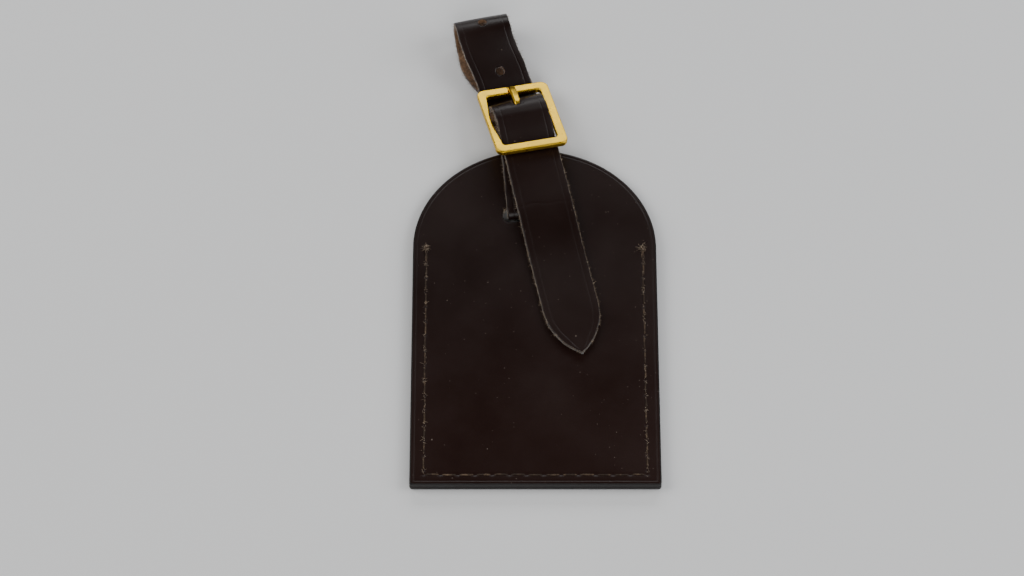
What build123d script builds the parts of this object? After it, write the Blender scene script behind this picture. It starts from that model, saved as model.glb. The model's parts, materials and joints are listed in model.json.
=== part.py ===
from build123d import *
import math
import os

import numpy as np

# A stitched leather luggage tag with a buckled strap, lying flat. Millimetres.
# It is drawn with the middle of the tag's bottom edge at (0, 0), on the surface it lies on,
# and moved at the end so that the origin is the middle of the whole object's footprint.
# +Y points from the tag to the strap's loop, +Z up. Headings are degrees left of +Y.

# Tag
tag_width = 70.0
straight_height = 77.4
arch_rise = 33.1
front_thickness = 1.3
corner_radius = 0.8
edge_round = 0.4
slot_length = 19.0
slot_height = 5.0
slot_corner = 2.0
slot_from_top = 22.2

# Pocket
pocket_depth = 0.8
pocket_margin = 5.2
window_width = 46.0
window_height = 54.0
window_corner = 4.0
window_rise = 11.0
thumb_radius = 7.0
sheet_thickness = 0.2
sheet_overlap = 3.0
card_thickness = 0.3
card_clearance = 0.9
card_lift = 0.15
card_corner = 2.0
card_top_gap = 2.0

# Thread
stitch_margin = 3.9
stitch_bottom_margin = 3.1
stitch_pitch = 4.8
stitch_gap = 0.6
thread_size = 0.6
thread_proud = 0.12

# Strap
strap_width = 16.0
strap_thickness = 1.7
rear_gap = 0.2
wrap_thickness = 1.1
turned_thickness = 0.8
turned_length = 17.5
turned_slope = 12.5
stitch_rows_from_tip = (2.5, 6.5)
stitch_row_inset = 2.5
hole_diameter = 3.0
point_length = 15.0
tail_reach = 79.8
layer_gap = 0.15
tag_gap = 0.15
bond_gap = 0.02
ease = 0.12
slot_heading = 6.0
slot_shift = 0.2
turn_inset = 1.0
loop_heading = 19.0
loop_reach = 30.0
loop_radius = 5.15
tail_heading = 12.3
spare_hole_1 = 19.4
spare_hole_2_angle = 52.0

# Buckle
buckle_x = -3.6
buckle_ahead = 30.3
buckle_heading = 14.0
buckle_pitch = 10.5
frame_width = 21.5
frame_length = 26.0
frame_thickness = 1.6
frame_corner = 2.0
frame_round = 0.35
end_bar = 2.9
window_mid_width = 17.6
window_end_width = 16.6
bar_radius = 0.9
bar_drop = 0.5
rock_gap = 0.45
under_bar_extra = 0.1
wrap_clearance = 0.25
end_clearance = 0.6

# Prong
prong_width = 2.0
prong_thickness = 1.4
prong_loop = 0.8
prong_clearance = 0.05
prong_side_gap = 0.35
prong_rise = 2.3
notch_depth = 0.45
notch_side_gap = 0.2
prong_tip_inset = 1.0
prong_root_drop = 0.95
prong_knee = 4.8
passage_length = 7.0
passage_gap = 0.55

# Worked out from the values above
pocket_thickness = strap_thickness + rear_gap
tag_height = straight_height + arch_rise
tag_back = pocket_thickness
tag_face = pocket_thickness + front_thickness
slot_y = tag_height - slot_from_top
half_strap = strap_thickness / 2
rear_z = half_strap
face_strand_z = tag_face + tag_gap + half_strap
turned_z = tag_face + tag_gap + turned_thickness / 2
fixed_strand_z = turned_z + turned_thickness / 2 + bond_gap + half_strap
over_strand_z = fixed_strand_z + strap_thickness + layer_gap
under_strand_z = rear_z + strap_thickness + layer_gap
pitch_rise = math.tan(math.radians(buckle_pitch))
bar_line = (frame_length - end_bar) / 2
low_bar_z = under_strand_z + half_strap + rock_gap + frame_thickness / 2
frame_z = low_bar_z + bar_line * pitch_rise + under_bar_extra
bar_z = frame_z - bar_drop
wrap_radius = bar_radius + prong_clearance + wrap_thickness / 2
over_radius = wrap_radius + wrap_thickness / 2 + wrap_clearance + half_strap
buckle_y = slot_y + buckle_ahead
slot_w = -math.hypot(buckle_x - slot_shift, buckle_ahead)
tail_w = -(frame_length / 2 + end_clearance)
loop_z = rear_z + loop_radius


def forward(heading):
    """The plan direction of a heading."""
    angle = math.radians(heading)
    return np.array([-math.sin(angle), math.cos(angle)])


def course(start, start_heading, start_w, end, end_heading, end_w):
    """A plan line between two places, bending evenly from one heading to the other.
    It gives the place and heading at a distance w, and runs straight on past both ends."""
    start, end = np.array(start), np.array(end)
    length = end_w - start_w
    lead, trail = forward(start_heading) * length, forward(end_heading) * length

    def place(w):
        t = (w - start_w) / length
        if t <= 0:
            return start + lead * t, start_heading
        if t >= 1:
            return end + trail * (t - 1), end_heading
        point = ((2 * t**3 - 3 * t**2 + 1) * start + (t**3 - 2 * t**2 + t) * lead
                 + (3 * t**2 - 2 * t**3) * end + (t**3 - t**2) * trail)
        slope = ((6 * t**2 - 6 * t) * start + (3 * t**2 - 4 * t + 1) * lead
                 + (6 * t - 6 * t**2) * end + (3 * t**2 - 2 * t) * trail)
        return point, math.degrees(math.atan2(-slope[0], slope[1]))

    return place


slot_point = (slot_shift, slot_y)
bar_point = (buckle_x, buckle_y)
loop_middle_heading = (buckle_heading + loop_heading) / 2
loop_point = tuple(np.array(bar_point) + forward(loop_middle_heading) * loop_reach)
fixed_course = course(slot_point, slot_heading, slot_w, bar_point, buckle_heading, 0)
rear_course = course(slot_point, slot_heading, slot_w, loop_point, loop_heading, loop_reach)
front_course = course(bar_point, buckle_heading, 0, loop_point, loop_heading, loop_reach)
tail_point = tuple(np.array(bar_point) + forward((buckle_heading + tail_heading) / 2) * tail_w)
tail_course = course(tail_point, tail_heading, tail_w, bar_point, buckle_heading, 0)


def section(place, w, z, direction, thickness):
    """One cross-section of the strap, square to its direction in its own upright plane."""
    point, heading = place(w)
    ahead, across = forward(heading), forward(heading - 90)
    angle = math.radians(direction)
    corners = []
    for side, skin in ((1, 1), (-1, 1), (-1, -1), (1, -1)):
        offset = skin * thickness / 2
        flat = point + across * side * strap_width / 2 - ahead * math.sin(angle) * offset
        corners.append((flat[0], flat[1], z + math.cos(angle) * offset))
    return Wire.make_polygon([Vector(*corner) for corner in corners], close=True)


def arc_sections(place, centre, radius, begin, finish, steps, thicknesses, turn=1):
    """Sections round an arc. Angles are from +w; turn is 1 anticlockwise, -1 clockwise."""
    wires = []
    for k in range(steps + 1):
        share = k / steps
        angle = begin + (finish - begin) * share
        w = centre[0] + radius * math.cos(math.radians(angle))
        z = centre[1] + radius * math.sin(math.radians(angle))
        thickness = thicknesses[0] + (thicknesses[1] - thicknesses[0]) * share
        wires.append(section(place, w, z, angle + 90 * turn, thickness))
    return wires


def tangent_slope(point, centre, radius):
    """Slope in degrees of the line from a point that passes over a circle and touches it."""
    run, rise = abs(centre[0] - point[0]), centre[1] - point[1]
    return math.degrees(math.atan2(rise, run) + math.asin(radius / math.hypot(run, rise)))


def plan_plane(place, w, z):
    """A plane whose X runs across the strap, Y ahead along it and Z up."""
    point, heading = place(w)
    across = forward(heading - 90)
    return Plane(origin=(point[0], point[1], z), x_dir=(across[0], across[1], 0), z_dir=(0, 0, 1))


def side_plane(place):
    """A plane through the middle of the bar whose X runs ahead along the strap and Y up."""
    point, heading = place(0)
    ahead, across = forward(heading), forward(heading - 90)
    return Plane(origin=(point[0], point[1], 0), x_dir=(ahead[0], ahead[1], 0),
                 z_dir=(across[0], across[1], 0))


bar_spot = (0.0, bar_z)
window_edge = frame_length / 2 - end_bar
under_spot = (window_edge - end_clearance, under_strand_z)
under_slope = tangent_slope(under_spot, bar_spot, over_radius)
over_spot = (-window_edge + end_clearance, over_strand_z)
over_slope = tangent_slope(over_spot, bar_spot, over_radius)
loop_spot = (loop_reach, loop_z)
rise_spot = (frame_length / 2 + end_clearance, under_strand_z)
rise_slope = tangent_slope(rise_spot, loop_spot, loop_radius)
fixed_spot = (-(window_edge - 2.0), fixed_strand_z)
fixed_slope = tangent_slope(fixed_spot, bar_spot, wrap_radius)
turned_run = bar_z - wrap_radius * math.cos(math.radians(turned_slope)) - turned_z
turned_spot = (wrap_radius * math.sin(math.radians(turned_slope))
               - turned_run / math.tan(math.radians(turned_slope)), turned_z)
turned_tip = -turned_length
rear_stations = (-20.0, -8.0, 6.0, 20.0)
turn_radius = (face_strand_z - rear_z) / 2
turn_spot = (slot_w + slot_height / 2 - turn_inset, rear_z + turn_radius)


def fixed_end_sections():
    """The turned-back end, the wrap round the buckle's bar and the strand down to the slot."""
    wires = [
        section(fixed_course, turned_tip, turned_z, 0, turned_thickness),
        section(fixed_course, turned_spot[0] - 0.8, turned_z, 0, turned_thickness),
        section(fixed_course, turned_spot[0], turned_z + 0.09, turned_slope, turned_thickness),
    ]
    wires += arc_sections(fixed_course, bar_spot, wrap_radius, turned_slope - 90,
                          fixed_slope + 90, 9, (turned_thickness, wrap_thickness))
    wires += [
        section(fixed_course, fixed_spot[0], fixed_strand_z, 180 + fixed_slope / 2, strap_thickness),
        section(fixed_course, turned_tip + 1.5, fixed_strand_z, 183, strap_thickness),
        section(fixed_course, turned_tip - 3.5, face_strand_z, 183, strap_thickness),
    ]
    return wires


def slot_turn_sections():
    """The turn down through the slot, round the leather above it."""
    upper = arc_sections(fixed_course, turn_spot, turn_radius, 90, 180, 5, [strap_thickness] * 2)
    lower = arc_sections(rear_course, turn_spot, turn_radius, 180, 270, 5, [strap_thickness] * 2)
    return upper + lower[1:]


def loop_sections():
    """The strand behind the tag, the loop and the way down to the buckle."""
    wires = [section(rear_course, w, rear_z, 0, strap_thickness) for w in rear_stations]
    wires += arc_sections(front_course, loop_spot, loop_radius, -90, 90 + rise_slope, 12,
                          [strap_thickness] * 2)
    wires += [
        section(front_course, rise_spot[0], under_strand_z + ease, 180 + rise_slope / 2,
                strap_thickness),
        section(front_course, rise_spot[0] - 1.0, under_strand_z, 180, strap_thickness),
        section(front_course, under_spot[0] + end_clearance, under_strand_z, 180, strap_thickness),
    ]
    return wires


def buckle_run_sections():
    """Up through the buckle's far window, over the bar and down under its near end."""
    wires = [section(front_course, under_spot[0], under_strand_z + ease, 180 - under_slope / 2,
                     strap_thickness)]
    wires += arc_sections(front_course, bar_spot, over_radius, 90 - under_slope, 90, 3,
                          [strap_thickness] * 2)
    wires += arc_sections(tail_course, bar_spot, over_radius, 90, 90 + over_slope, 2,
                          [strap_thickness] * 2)[1:]
    wires += [
        section(tail_course, over_spot[0], over_strand_z, 180 + over_slope / 2, strap_thickness),
        section(tail_course, tail_w, over_strand_z, 180, strap_thickness),
    ]
    return wires


shaft_root = (-0.2, bar_z + prong_root_drop)
shaft_knee = (prong_knee, bar_z + prong_rise)
shaft_tip_w = frame_length / 2 - prong_tip_inset
shaft_tip = (shaft_tip_w, frame_z - shaft_tip_w * pitch_rise + frame_thickness / 2
             - notch_depth + ease + prong_thickness / 2)
prong_middle = side_plane(front_course)


def strap():
    """The strap from its turned-back end to where its tail leaves the buckle."""
    wires = fixed_end_sections() + slot_turn_sections() + loop_sections() + buckle_run_sections()
    body = Solid.make_loft(wires, ruled=True)
    slit_half = prong_width / 2 + prong_side_gap
    slit = extrude(Pos(*bar_spot) * Circle(wrap_radius + wrap_thickness / 2 + 0.1), slit_half, both=True)
    body -= prong_middle * slit
    lean = math.degrees(math.atan2(shaft_knee[1] - shaft_root[1], shaft_knee[0] - shaft_root[0]))
    passage = Rectangle(passage_length, prong_thickness + 2 * passage_gap, align=(Align.MIN, Align.CENTER))
    passage = Pos(shaft_root[0] + 0.5, shaft_root[1] + 0.15) * Rot(0, 0, lean + 2) * passage
    body -= prong_middle * extrude(passage, slit_half, both=True)
    punch = Cylinder(hole_diameter / 2, strap_thickness * 2)
    run = spare_hole_1 - rise_spot[0]
    body -= (plan_plane(front_course, spare_hole_1, under_strand_z
                        + run * math.tan(math.radians(rise_slope))) * Rot(rise_slope, 0, 0) * punch)
    angle = math.radians(spare_hole_2_angle)
    body -= (plan_plane(front_course, loop_reach + loop_radius * math.cos(angle),
                        loop_z + loop_radius * math.sin(angle))
             * Rot(spare_hole_2_angle - 90, 0, 0) * punch)
    return body


def strap_tail():
    """The free end past the buckle, lying down onto the tag, cut to a point."""
    rest_z = face_strand_z
    wires = [
        section(tail_course, tail_w, over_strand_z, 180, strap_thickness),
        section(tail_course, tail_w - 3.5, over_strand_z - 0.04, 181, strap_thickness),
        section(tail_course, slot_w + 0.5, face_strand_z + strap_thickness + 0.35, 183.5, strap_thickness),
        section(tail_course, slot_w - 7.0, rest_z + 1.0, 186, strap_thickness),
        section(tail_course, slot_w - 15.0, rest_z + 0.05, 182, strap_thickness),
        section(tail_course, -tail_reach, rest_z, 180, strap_thickness),
    ]
    ribbon = Solid.make_loft(wires, ruled=True)
    half = strap_width / 2 + 0.2
    radius = (point_length**2 + half**2) / (2 * half)
    sweep = math.degrees(math.asin(point_length / radius))
    shoulder = -tail_reach + point_length
    outline = make_face([
        CenterArc((half - radius, shoulder), radius, 0, -sweep),
        CenterArc((radius - half, shoulder), radius, 180 + sweep, -sweep),
        Line((-half, shoulder), (-half, tail_w + 5)),
        Line((-half, tail_w + 5), (half, tail_w + 5)),
        Line((half, tail_w + 5), (half, shoulder)),
    ])
    cutter = extrude(outline, 12)
    origin, heading = tail_course(tail_w - 1)
    start = origin - forward(tail_heading) * (tail_w - 1)
    return ribbon & (Pos(start[0], start[1], 0) * Rot(0, 0, heading) * cutter)


def tag_outline():
    """Straight sides, square foot and a half-ellipse top."""
    sides = Pos(0, straight_height / 2) * Rectangle(tag_width, straight_height)
    arch = Pos(0, straight_height) * Ellipse(tag_width / 2, arch_rise)
    return sides + arch


def foot_corners(solid):
    """The two upright edges at the foot of the tag."""
    return solid.edges().filter_by(Axis.Z).sort_by(Axis.Y)[:2]


def front_panel():
    """The whole front leather, with the slot for the strap."""
    panel = Pos(0, 0, tag_back) * extrude(tag_outline(), front_thickness)
    panel = fillet(foot_corners(panel), corner_radius)
    panel = fillet(panel.faces().sort_by(Axis.Z)[-1].edges(), edge_round)
    slot = extrude(RectangleRounded(slot_length, slot_height, slot_corner), front_thickness * 2)
    return panel - Pos(0, slot_y, tag_back - front_thickness / 2) * slot


def pocket_panel():
    """The back leather: thinned inside for the card, with a window and a thumb notch."""
    sides = Pos(0, straight_height / 2) * Rectangle(tag_width, straight_height)
    panel = extrude(sides, pocket_thickness)
    panel = fillet(foot_corners(panel), corner_radius)
    panel = fillet(panel.faces().sort_by(Axis.Z)[0].edges(), edge_round)
    hollow_height = straight_height - pocket_margin + 1
    hollow = Box(tag_width - 2 * pocket_margin, hollow_height, pocket_depth,
                 align=(Align.CENTER, Align.MIN, Align.MIN))
    panel -= Pos(0, pocket_margin, pocket_thickness - pocket_depth) * hollow
    window = extrude(RectangleRounded(window_width, window_height, window_corner), pocket_thickness)
    panel -= Pos(0, window_rise + window_height / 2, 0) * window
    panel -= Pos(0, straight_height, pocket_thickness / 2) * Cylinder(thumb_radius, pocket_thickness)
    return panel


def window_sheet():
    """The clear sheet that covers the window, bonded to the thinned leather."""
    sheet = extrude(RectangleRounded(window_width + 2 * sheet_overlap,
                                     window_height + 2 * sheet_overlap, window_corner), sheet_thickness)
    return Pos(0, window_rise + window_height / 2, pocket_thickness - pocket_depth) * sheet


card_width = tag_width - 2 * pocket_margin - 2 * card_clearance
card_height = straight_height - pocket_margin - card_clearance - card_top_gap


def address_card():
    """The plain card in the pocket."""
    card = extrude(RectangleRounded(card_width, card_height, card_corner), card_thickness)
    base = pocket_thickness - pocket_depth + sheet_thickness
    return Pos(0, pocket_margin + card_clearance + card_height / 2, base + card_lift) * card


def seam(start, end):
    """Stitches in a straight row: bars on both faces and a leg through every hole."""
    start, end = Vector(*start), Vector(*end)
    count = max(1, round((end - start).length / stitch_pitch))
    step = (end - start) / count
    turned = math.degrees(math.atan2(step.Y, step.X))
    bar = Box(step.length - stitch_gap / 2, thread_size, thread_size)
    leg = Box(thread_size, thread_size, tag_face - 0.2)
    thread = []
    for k in range(count):
        middle = start + step * (k + 0.5)
        for z in (thread_size / 2, tag_face + thread_proud - thread_size / 2):
            thread.append(Pos(middle.X, middle.Y, z) * Rot(0, 0, turned) * bar)
    for k in range(count + 1):
        hole = start + step * k
        thread.append(Pos(hole.X, hole.Y, tag_face / 2) * Rot(0, 0, turned) * leg)
    return thread[0].fuse(*thread[1:])


def seams():
    """The left, bottom and right rows."""
    side = tag_width / 2 - stitch_margin
    top, low = straight_height - thread_size, stitch_bottom_margin
    clear = thread_size + stitch_gap
    return {
        "seam_left": seam((-side, low + clear), (-side, top)),
        "seam_right": seam((side, low + clear), (side, top)),
        "seam_bottom": seam((-side, low), (side, low)),
    }


def turned_end_stitches():
    """Two rows across the strap that hold its turned-back end."""
    rows = []
    leg_height = fixed_strand_z + half_strap - turned_z - 0.1
    across = strap_width - 2 * stitch_row_inset
    count = round(across / (stitch_pitch * 0.7))
    pitch = across / count
    for w in (turned_tip + inset for inset in stitch_rows_from_tip):
        plane = plan_plane(fixed_course, w, 0)
        row = []
        for k in range(count):
            x = (k + 0.5) * pitch - across / 2
            bar = Box(pitch - stitch_gap / 2, thread_size, thread_size)
            row.append(plane * Pos(x, 0, fixed_strand_z + half_strap - thread_size / 2) * bar)
        for k in range(count + 1):
            leg = Box(thread_size, thread_size, leg_height)
            row.append(plane * Pos(k * pitch - across / 2, 0, turned_z + leg_height / 2) * leg)
        rows.append(row[0].fuse(*row[1:]))
    return Compound(children=rows)


def barrel_window():
    """The frame's window, a little wider at the bar than at its ends."""
    half, mid = window_end_width / 2, window_mid_width / 2
    return make_face([
        Line((-half, window_edge), (half, window_edge)),
        ThreePointArc((half, window_edge), (mid, 0), (half, -window_edge)),
        Line((half, -window_edge), (-half, -window_edge)),
        ThreePointArc((-half, -window_edge), (-mid, 0), (-half, window_edge)),
    ])


def buckle_place():
    """The frame's own plane: across, ahead and up, pitched down towards the loop."""
    return plan_plane(front_course, 0, frame_z) * Rot(-buckle_pitch, 0, 0)


def buckle_frame():
    """The cast frame with its centre bar and the notch that the prong's tip rests in."""
    outline = RectangleRounded(frame_width, frame_length, frame_corner) - barrel_window()
    frame = Pos(0, 0, -frame_thickness / 2) * extrude(outline, frame_thickness)
    top_and_bottom = frame.faces().filter_by(Axis.Z)
    frame = fillet(top_and_bottom.edges(), frame_round)
    groove = Box(prong_width + 2 * notch_side_gap, end_bar + 2, notch_depth * 2)
    frame -= Pos(0, bar_line, frame_thickness / 2) * groove
    frame = buckle_place() * frame
    bar_length = window_mid_width + (frame_width - window_mid_width) / 2
    bar = extrude(Pos(*bar_spot) * Circle(bar_radius), bar_length / 2, both=True)
    return frame + prong_middle * bar


def buckle_prong():
    """The prong: an eye round the bar and a bent shaft that lies in the notch."""
    eye = Pos(*bar_spot) * Circle(bar_radius + prong_clearance + prong_loop)
    half = prong_thickness / 2
    lean = math.atan2(shaft_knee[1] - shaft_root[1], shaft_knee[0] - shaft_root[0])
    fall = math.atan2(shaft_knee[1] - shaft_tip[1], shaft_tip[0] - shaft_knee[0])
    upper = [(shaft_root[0] - half * math.sin(lean), shaft_root[1] + half * math.cos(lean)),
             (shaft_knee[0], shaft_knee[1] + half),
             (shaft_tip[0] + half * math.sin(fall), shaft_tip[1] + half * math.cos(fall))]
    lower = [(shaft_tip[0] - half * math.sin(fall), shaft_tip[1] - half * math.cos(fall)),
             (shaft_knee[0], shaft_knee[1] - half),
             (shaft_root[0] + half * math.sin(lean), shaft_root[1] - half * math.cos(lean))]
    shaft = make_face(Polyline(*upper, *lower, close=True))
    side = extrude(eye + shaft, prong_width / 2, both=True)
    side -= extrude(Pos(*bar_spot) * Circle(bar_radius + prong_clearance), prong_width, both=True)
    return prong_middle * side


nodes = {
    "front_panel": front_panel(),
    "pocket_panel": pocket_panel(),
    "window_sheet": window_sheet(),
    "address_card": address_card(),
    "strap": strap(),
    "strap_tail": strap_tail(),
    "turned_end_stitches": turned_end_stitches(),
    "buckle_frame": buckle_frame(),
    "buckle_prong": buckle_prong(),
}
nodes.update(seams())

box = Compound(children=[shape.moved(Location()) for shape in nodes.values()]).bounding_box()
shift = Pos(-(box.min.X + box.max.X) / 2, -(box.min.Y + box.max.Y) / 2, 0)
os.makedirs("parts", exist_ok=True)
for name, shape in nodes.items():
    export_step(shift * shape, f"parts/{name}.step")
print("overall", box.size, "moved by", shift.position)
for name, (w, z) in {"slot": (slot_w, rear_z), "bar": (0, bar_z), "tail_hinge": (tail_w, over_strand_z
                     + half_strap)}.items():
    point, heading = (fixed_course if name == "slot" else tail_course)(w)
    place = shift * Pos(point[0], point[1], z)
    print(name, place.position, "heading", heading)
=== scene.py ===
import json
import math

import bmesh
import bpy
import numpy as np
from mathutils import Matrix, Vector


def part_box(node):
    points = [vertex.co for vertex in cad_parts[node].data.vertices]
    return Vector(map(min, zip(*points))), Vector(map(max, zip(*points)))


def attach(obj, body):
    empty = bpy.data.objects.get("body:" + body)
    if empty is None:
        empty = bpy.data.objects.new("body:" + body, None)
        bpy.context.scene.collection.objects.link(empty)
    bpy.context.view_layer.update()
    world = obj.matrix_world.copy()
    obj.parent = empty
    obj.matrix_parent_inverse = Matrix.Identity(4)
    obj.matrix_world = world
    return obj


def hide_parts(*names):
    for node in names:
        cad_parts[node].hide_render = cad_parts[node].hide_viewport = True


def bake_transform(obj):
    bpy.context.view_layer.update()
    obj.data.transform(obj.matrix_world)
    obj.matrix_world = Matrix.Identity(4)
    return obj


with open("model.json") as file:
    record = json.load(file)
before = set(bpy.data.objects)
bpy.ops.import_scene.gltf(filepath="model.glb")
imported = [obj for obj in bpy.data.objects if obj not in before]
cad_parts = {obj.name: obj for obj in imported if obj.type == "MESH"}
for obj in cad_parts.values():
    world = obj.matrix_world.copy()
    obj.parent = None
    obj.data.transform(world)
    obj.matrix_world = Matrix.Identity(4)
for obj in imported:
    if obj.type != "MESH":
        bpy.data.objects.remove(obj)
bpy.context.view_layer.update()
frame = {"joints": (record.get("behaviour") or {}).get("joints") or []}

# A stitched leather luggage tag with a buckled strap. Lengths are in metres.
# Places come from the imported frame: its nodes' boxes and its joints.
mm = 0.001
joints = {j["name"]: j for j in frame["joints"]}
tagLow, tagHigh = (np.array(p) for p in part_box("front_panel"))
pocketLow, pocketHigh = (np.array(p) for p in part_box("pocket_panel"))
footY = tagLow[1]
tagBack, tagFace = tagLow[2], tagHigh[2]
slotPoint = np.array(joints["strap_swing"]["pos_m"])
barPoint = np.array(joints["buckle_rock"]["pos_m"])
tailPoint = np.array(joints["tail_lift"]["pos_m"])
barAxis = np.array(joints["buckle_rock"]["axis"])
tailAxis = -np.array(joints["tail_lift"]["axis"])


def gridFaces(rows, cols, wrapRows=False, wrapCols=False, base=0, flip=False):
    # quads of a rows x cols grid of vertices, each row following the last
    i = np.arange(rows if wrapRows else rows - 1)[:, None]
    j = np.arange(cols if wrapCols else cols - 1)[None, :]
    a = i * cols + j
    b = i * cols + (j + 1) % cols
    c = ((i + 1) % rows) * cols + (j + 1) % cols
    d = ((i + 1) % rows) * cols + j
    quads = np.stack([a, b, c, d], -1).reshape(-1, 4) + base
    return quads[:, ::-1] if flip else quads


def makePiece(name, verts, faces, materials, slots=None):
    # one smooth mesh object from a vertex array, a list of faces and each face's material number
    mesh = bpy.data.meshes.new(name)
    mesh.from_pydata(np.asarray(verts, float).tolist(), [], faces)
    for material in materials:
        mesh.materials.append(material)
    if slots is not None:
        mesh.polygons.foreach_set("material_index", np.asarray(slots, dtype=np.int32))
    mesh.polygons.foreach_set("use_smooth", np.ones(len(mesh.polygons), bool))
    mesh.update()
    piece = bpy.data.objects.new(name, mesh)
    bpy.context.scene.collection.objects.link(piece)
    return piece


def fillBetween(points, outerLoop, innerLoop):
    # triangles that fill the flat ring between two closed loops of vertex numbers
    ring = np.concatenate([outerLoop, innerLoop])
    outer, inner = np.arange(len(outerLoop)), np.arange(len(innerLoop)) + len(outerLoop)
    edges = np.concatenate([np.stack([loop, np.roll(loop, -1)], -1) for loop in (outer, inner)])
    outline = bpy.data.meshes.new("outline")
    outline.from_pydata(points[ring].tolist(), edges.tolist(), [])
    mesh = bmesh.new()
    mesh.from_mesh(outline)
    bmesh.ops.triangle_fill(mesh, use_beauty=True, use_dissolve=False, edges=mesh.edges)
    mesh.to_mesh(outline)
    mesh.free()
    corners = np.empty(len(outline.loops), dtype=np.int32)
    outline.loops.foreach_get("vertex_index", corners)
    bpy.data.meshes.remove(outline)
    return ring[corners.reshape(-1, 3)]


def faceUp(points, faces, up=1):
    # turns flat triangles so that they all face up or all face down
    a, b, c = (points[faces[:, k]] for k in range(3))
    upward = np.cross(b - a, c - a)[:, 2] * up > 0
    return np.where(upward[:, None], faces, faces[:, ::-1])


def roundedLoop(corners, radii, inset, arcSteps, sideStep=0.5 * mm):
    # a closed outline of straight sides and arc corners, moved inwards by inset. Corners run
    # anticlockwise. A corner that turns inwards gets a larger arc as it moves.
    corners = np.asarray(corners, float)
    arcs, counts = [], []
    for k, here in enumerate(corners):
        nextCorner = corners[(k + 1) % len(corners)]
        inDir = (here - corners[k - 1]) / np.linalg.norm(here - corners[k - 1])
        outDir = (nextCorner - here) / np.linalg.norm(nextCorner - here)
        inNormal, outNormal = np.array([-inDir[1], inDir[0]]), np.array([-outDir[1], outDir[0]])
        side = 1 if inDir[0] * outDir[1] > inDir[1] * outDir[0] else -1
        radius = max(radii[k] - inset * side, 1e-6)
        moved = here + (inNormal + outNormal) * inset
        centre = moved + (inNormal + outNormal) * radius * side
        begin = math.atan2(-inNormal[1] * side, -inNormal[0] * side)
        sweep = math.acos(np.clip(inDir @ outDir, -1, 1)) * side
        angle = begin + sweep * np.linspace(0, 1, arcSteps)
        arcs.append(centre + radius * np.stack([np.cos(angle), np.sin(angle)], -1))
        # the straight side that follows has the same count of points for every inset
        counts.append(max(2, int(np.linalg.norm(nextCorner - here) / sideStep)))
    loop = []
    for k, (arc, count) in enumerate(zip(arcs, counts)):
        share = (np.arange(1, count) / count)[:, None]
        loop += [arc, arc[-1] + (arcs[(k + 1) % len(arcs)][0] - arc[-1]) * share]
    return np.concatenate(loop)


def ringShell(rings):
    # joins closed rings of points, given from the first to the last, with quads
    return np.concatenate(rings), gridFaces(len(rings), len(rings[0]), wrapCols=True)


class Nodes:
    # a short way to add and link nodes in one tree
    def __init__(self, tree):
        self.tree = tree

    def add(self, kind, inputs=None, **settings):
        node = self.tree.nodes.new(kind)
        for key, value in settings.items():
            setattr(node, key, value)
        for key, value in (inputs or {}).items():
            if isinstance(value, bpy.types.NodeSocket):
                self.tree.links.new(value, node.inputs[key])
            else:
                node.inputs[key].default_value = value
        return node

    def math(self, operation, a, b=0.0, clamp=False):
        return self.add("ShaderNodeMath", {0: a, 1: b}, operation=operation, use_clamp=clamp).outputs[0]

    def ramp(self, value, low, high, toLow=0.0, toHigh=1.0):
        return self.add("ShaderNodeMapRange", {0: value, 1: low, 2: high, 3: toLow, 4: toHigh},
                        clamp=True).outputs[0]

    def mix(self, factor, a, b, blend="MIX"):
        node = self.tree.nodes.new("ShaderNodeMix")
        node.data_type = "RGBA"
        node.blend_type = blend
        for key, value in ((0, factor), (6, a), (7, b)):
            if isinstance(value, bpy.types.NodeSocket):
                self.tree.links.new(value, node.inputs[key])
            else:
                node.inputs[key].default_value = value
        return node.outputs[2]

    def noise(self, vector, scale, detail=4.0, rough=0.55):
        return self.add("ShaderNodeTexNoise", {"Vector": vector, "Scale": scale, "Detail": detail,
                                               "Roughness": rough}, noise_dimensions="3D").outputs["Fac"]


def newGroup(name, inputs, outputs):
    tree = bpy.data.node_groups.new(name, "ShaderNodeTree")
    for label, kind, value in inputs:
        socket = tree.interface.new_socket(label, in_out="INPUT", socket_type=kind)
        if value is not None:
            socket.default_value = value
    for label, kind in outputs:
        tree.interface.new_socket(label, in_out="OUTPUT", socket_type=kind)
    nodes = Nodes(tree)
    start = nodes.add("NodeGroupInput")
    end = nodes.add("NodeGroupOutput")
    return nodes, start, end


def leatherGrainGroup():
    # fine pores and creases of smooth leather: a height, and a slow mottling of its colour
    n, start, end = newGroup("leather grain", [("Vector", "NodeSocketVector", None),
                                              ("Pore Scale", "NodeSocketFloat", 2600.0)],
                             [("Height", "NodeSocketFloat"), ("Mottle", "NodeSocketFloat"),
                              ("Pores", "NodeSocketFloat")])
    vector = start.outputs["Vector"]
    cells = n.add("ShaderNodeTexVoronoi", {"Vector": vector, "Scale": start.outputs["Pore Scale"]},
                  feature="F1", voronoi_dimensions="3D").outputs["Distance"]
    fine = n.noise(vector, 5200.0, 3.0)
    broad = n.noise(vector, 38.0, 4.0, 0.6)
    hide = n.noise(vector, 420.0, 4.0, 0.6)
    pores = n.ramp(cells, 0.05, 0.45)
    height = n.math("ADD", n.math("MULTIPLY", pores, 0.35), n.math("MULTIPLY", fine, 0.35))
    height = n.math("ADD", height, n.math("MULTIPLY", hide, 0.9))
    n.tree.links.new(height, end.inputs["Height"])
    n.tree.links.new(n.ramp(broad, 0.32, 0.68), end.inputs["Mottle"])
    n.tree.links.new(pores, end.inputs["Pores"])
    return n.tree


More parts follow.
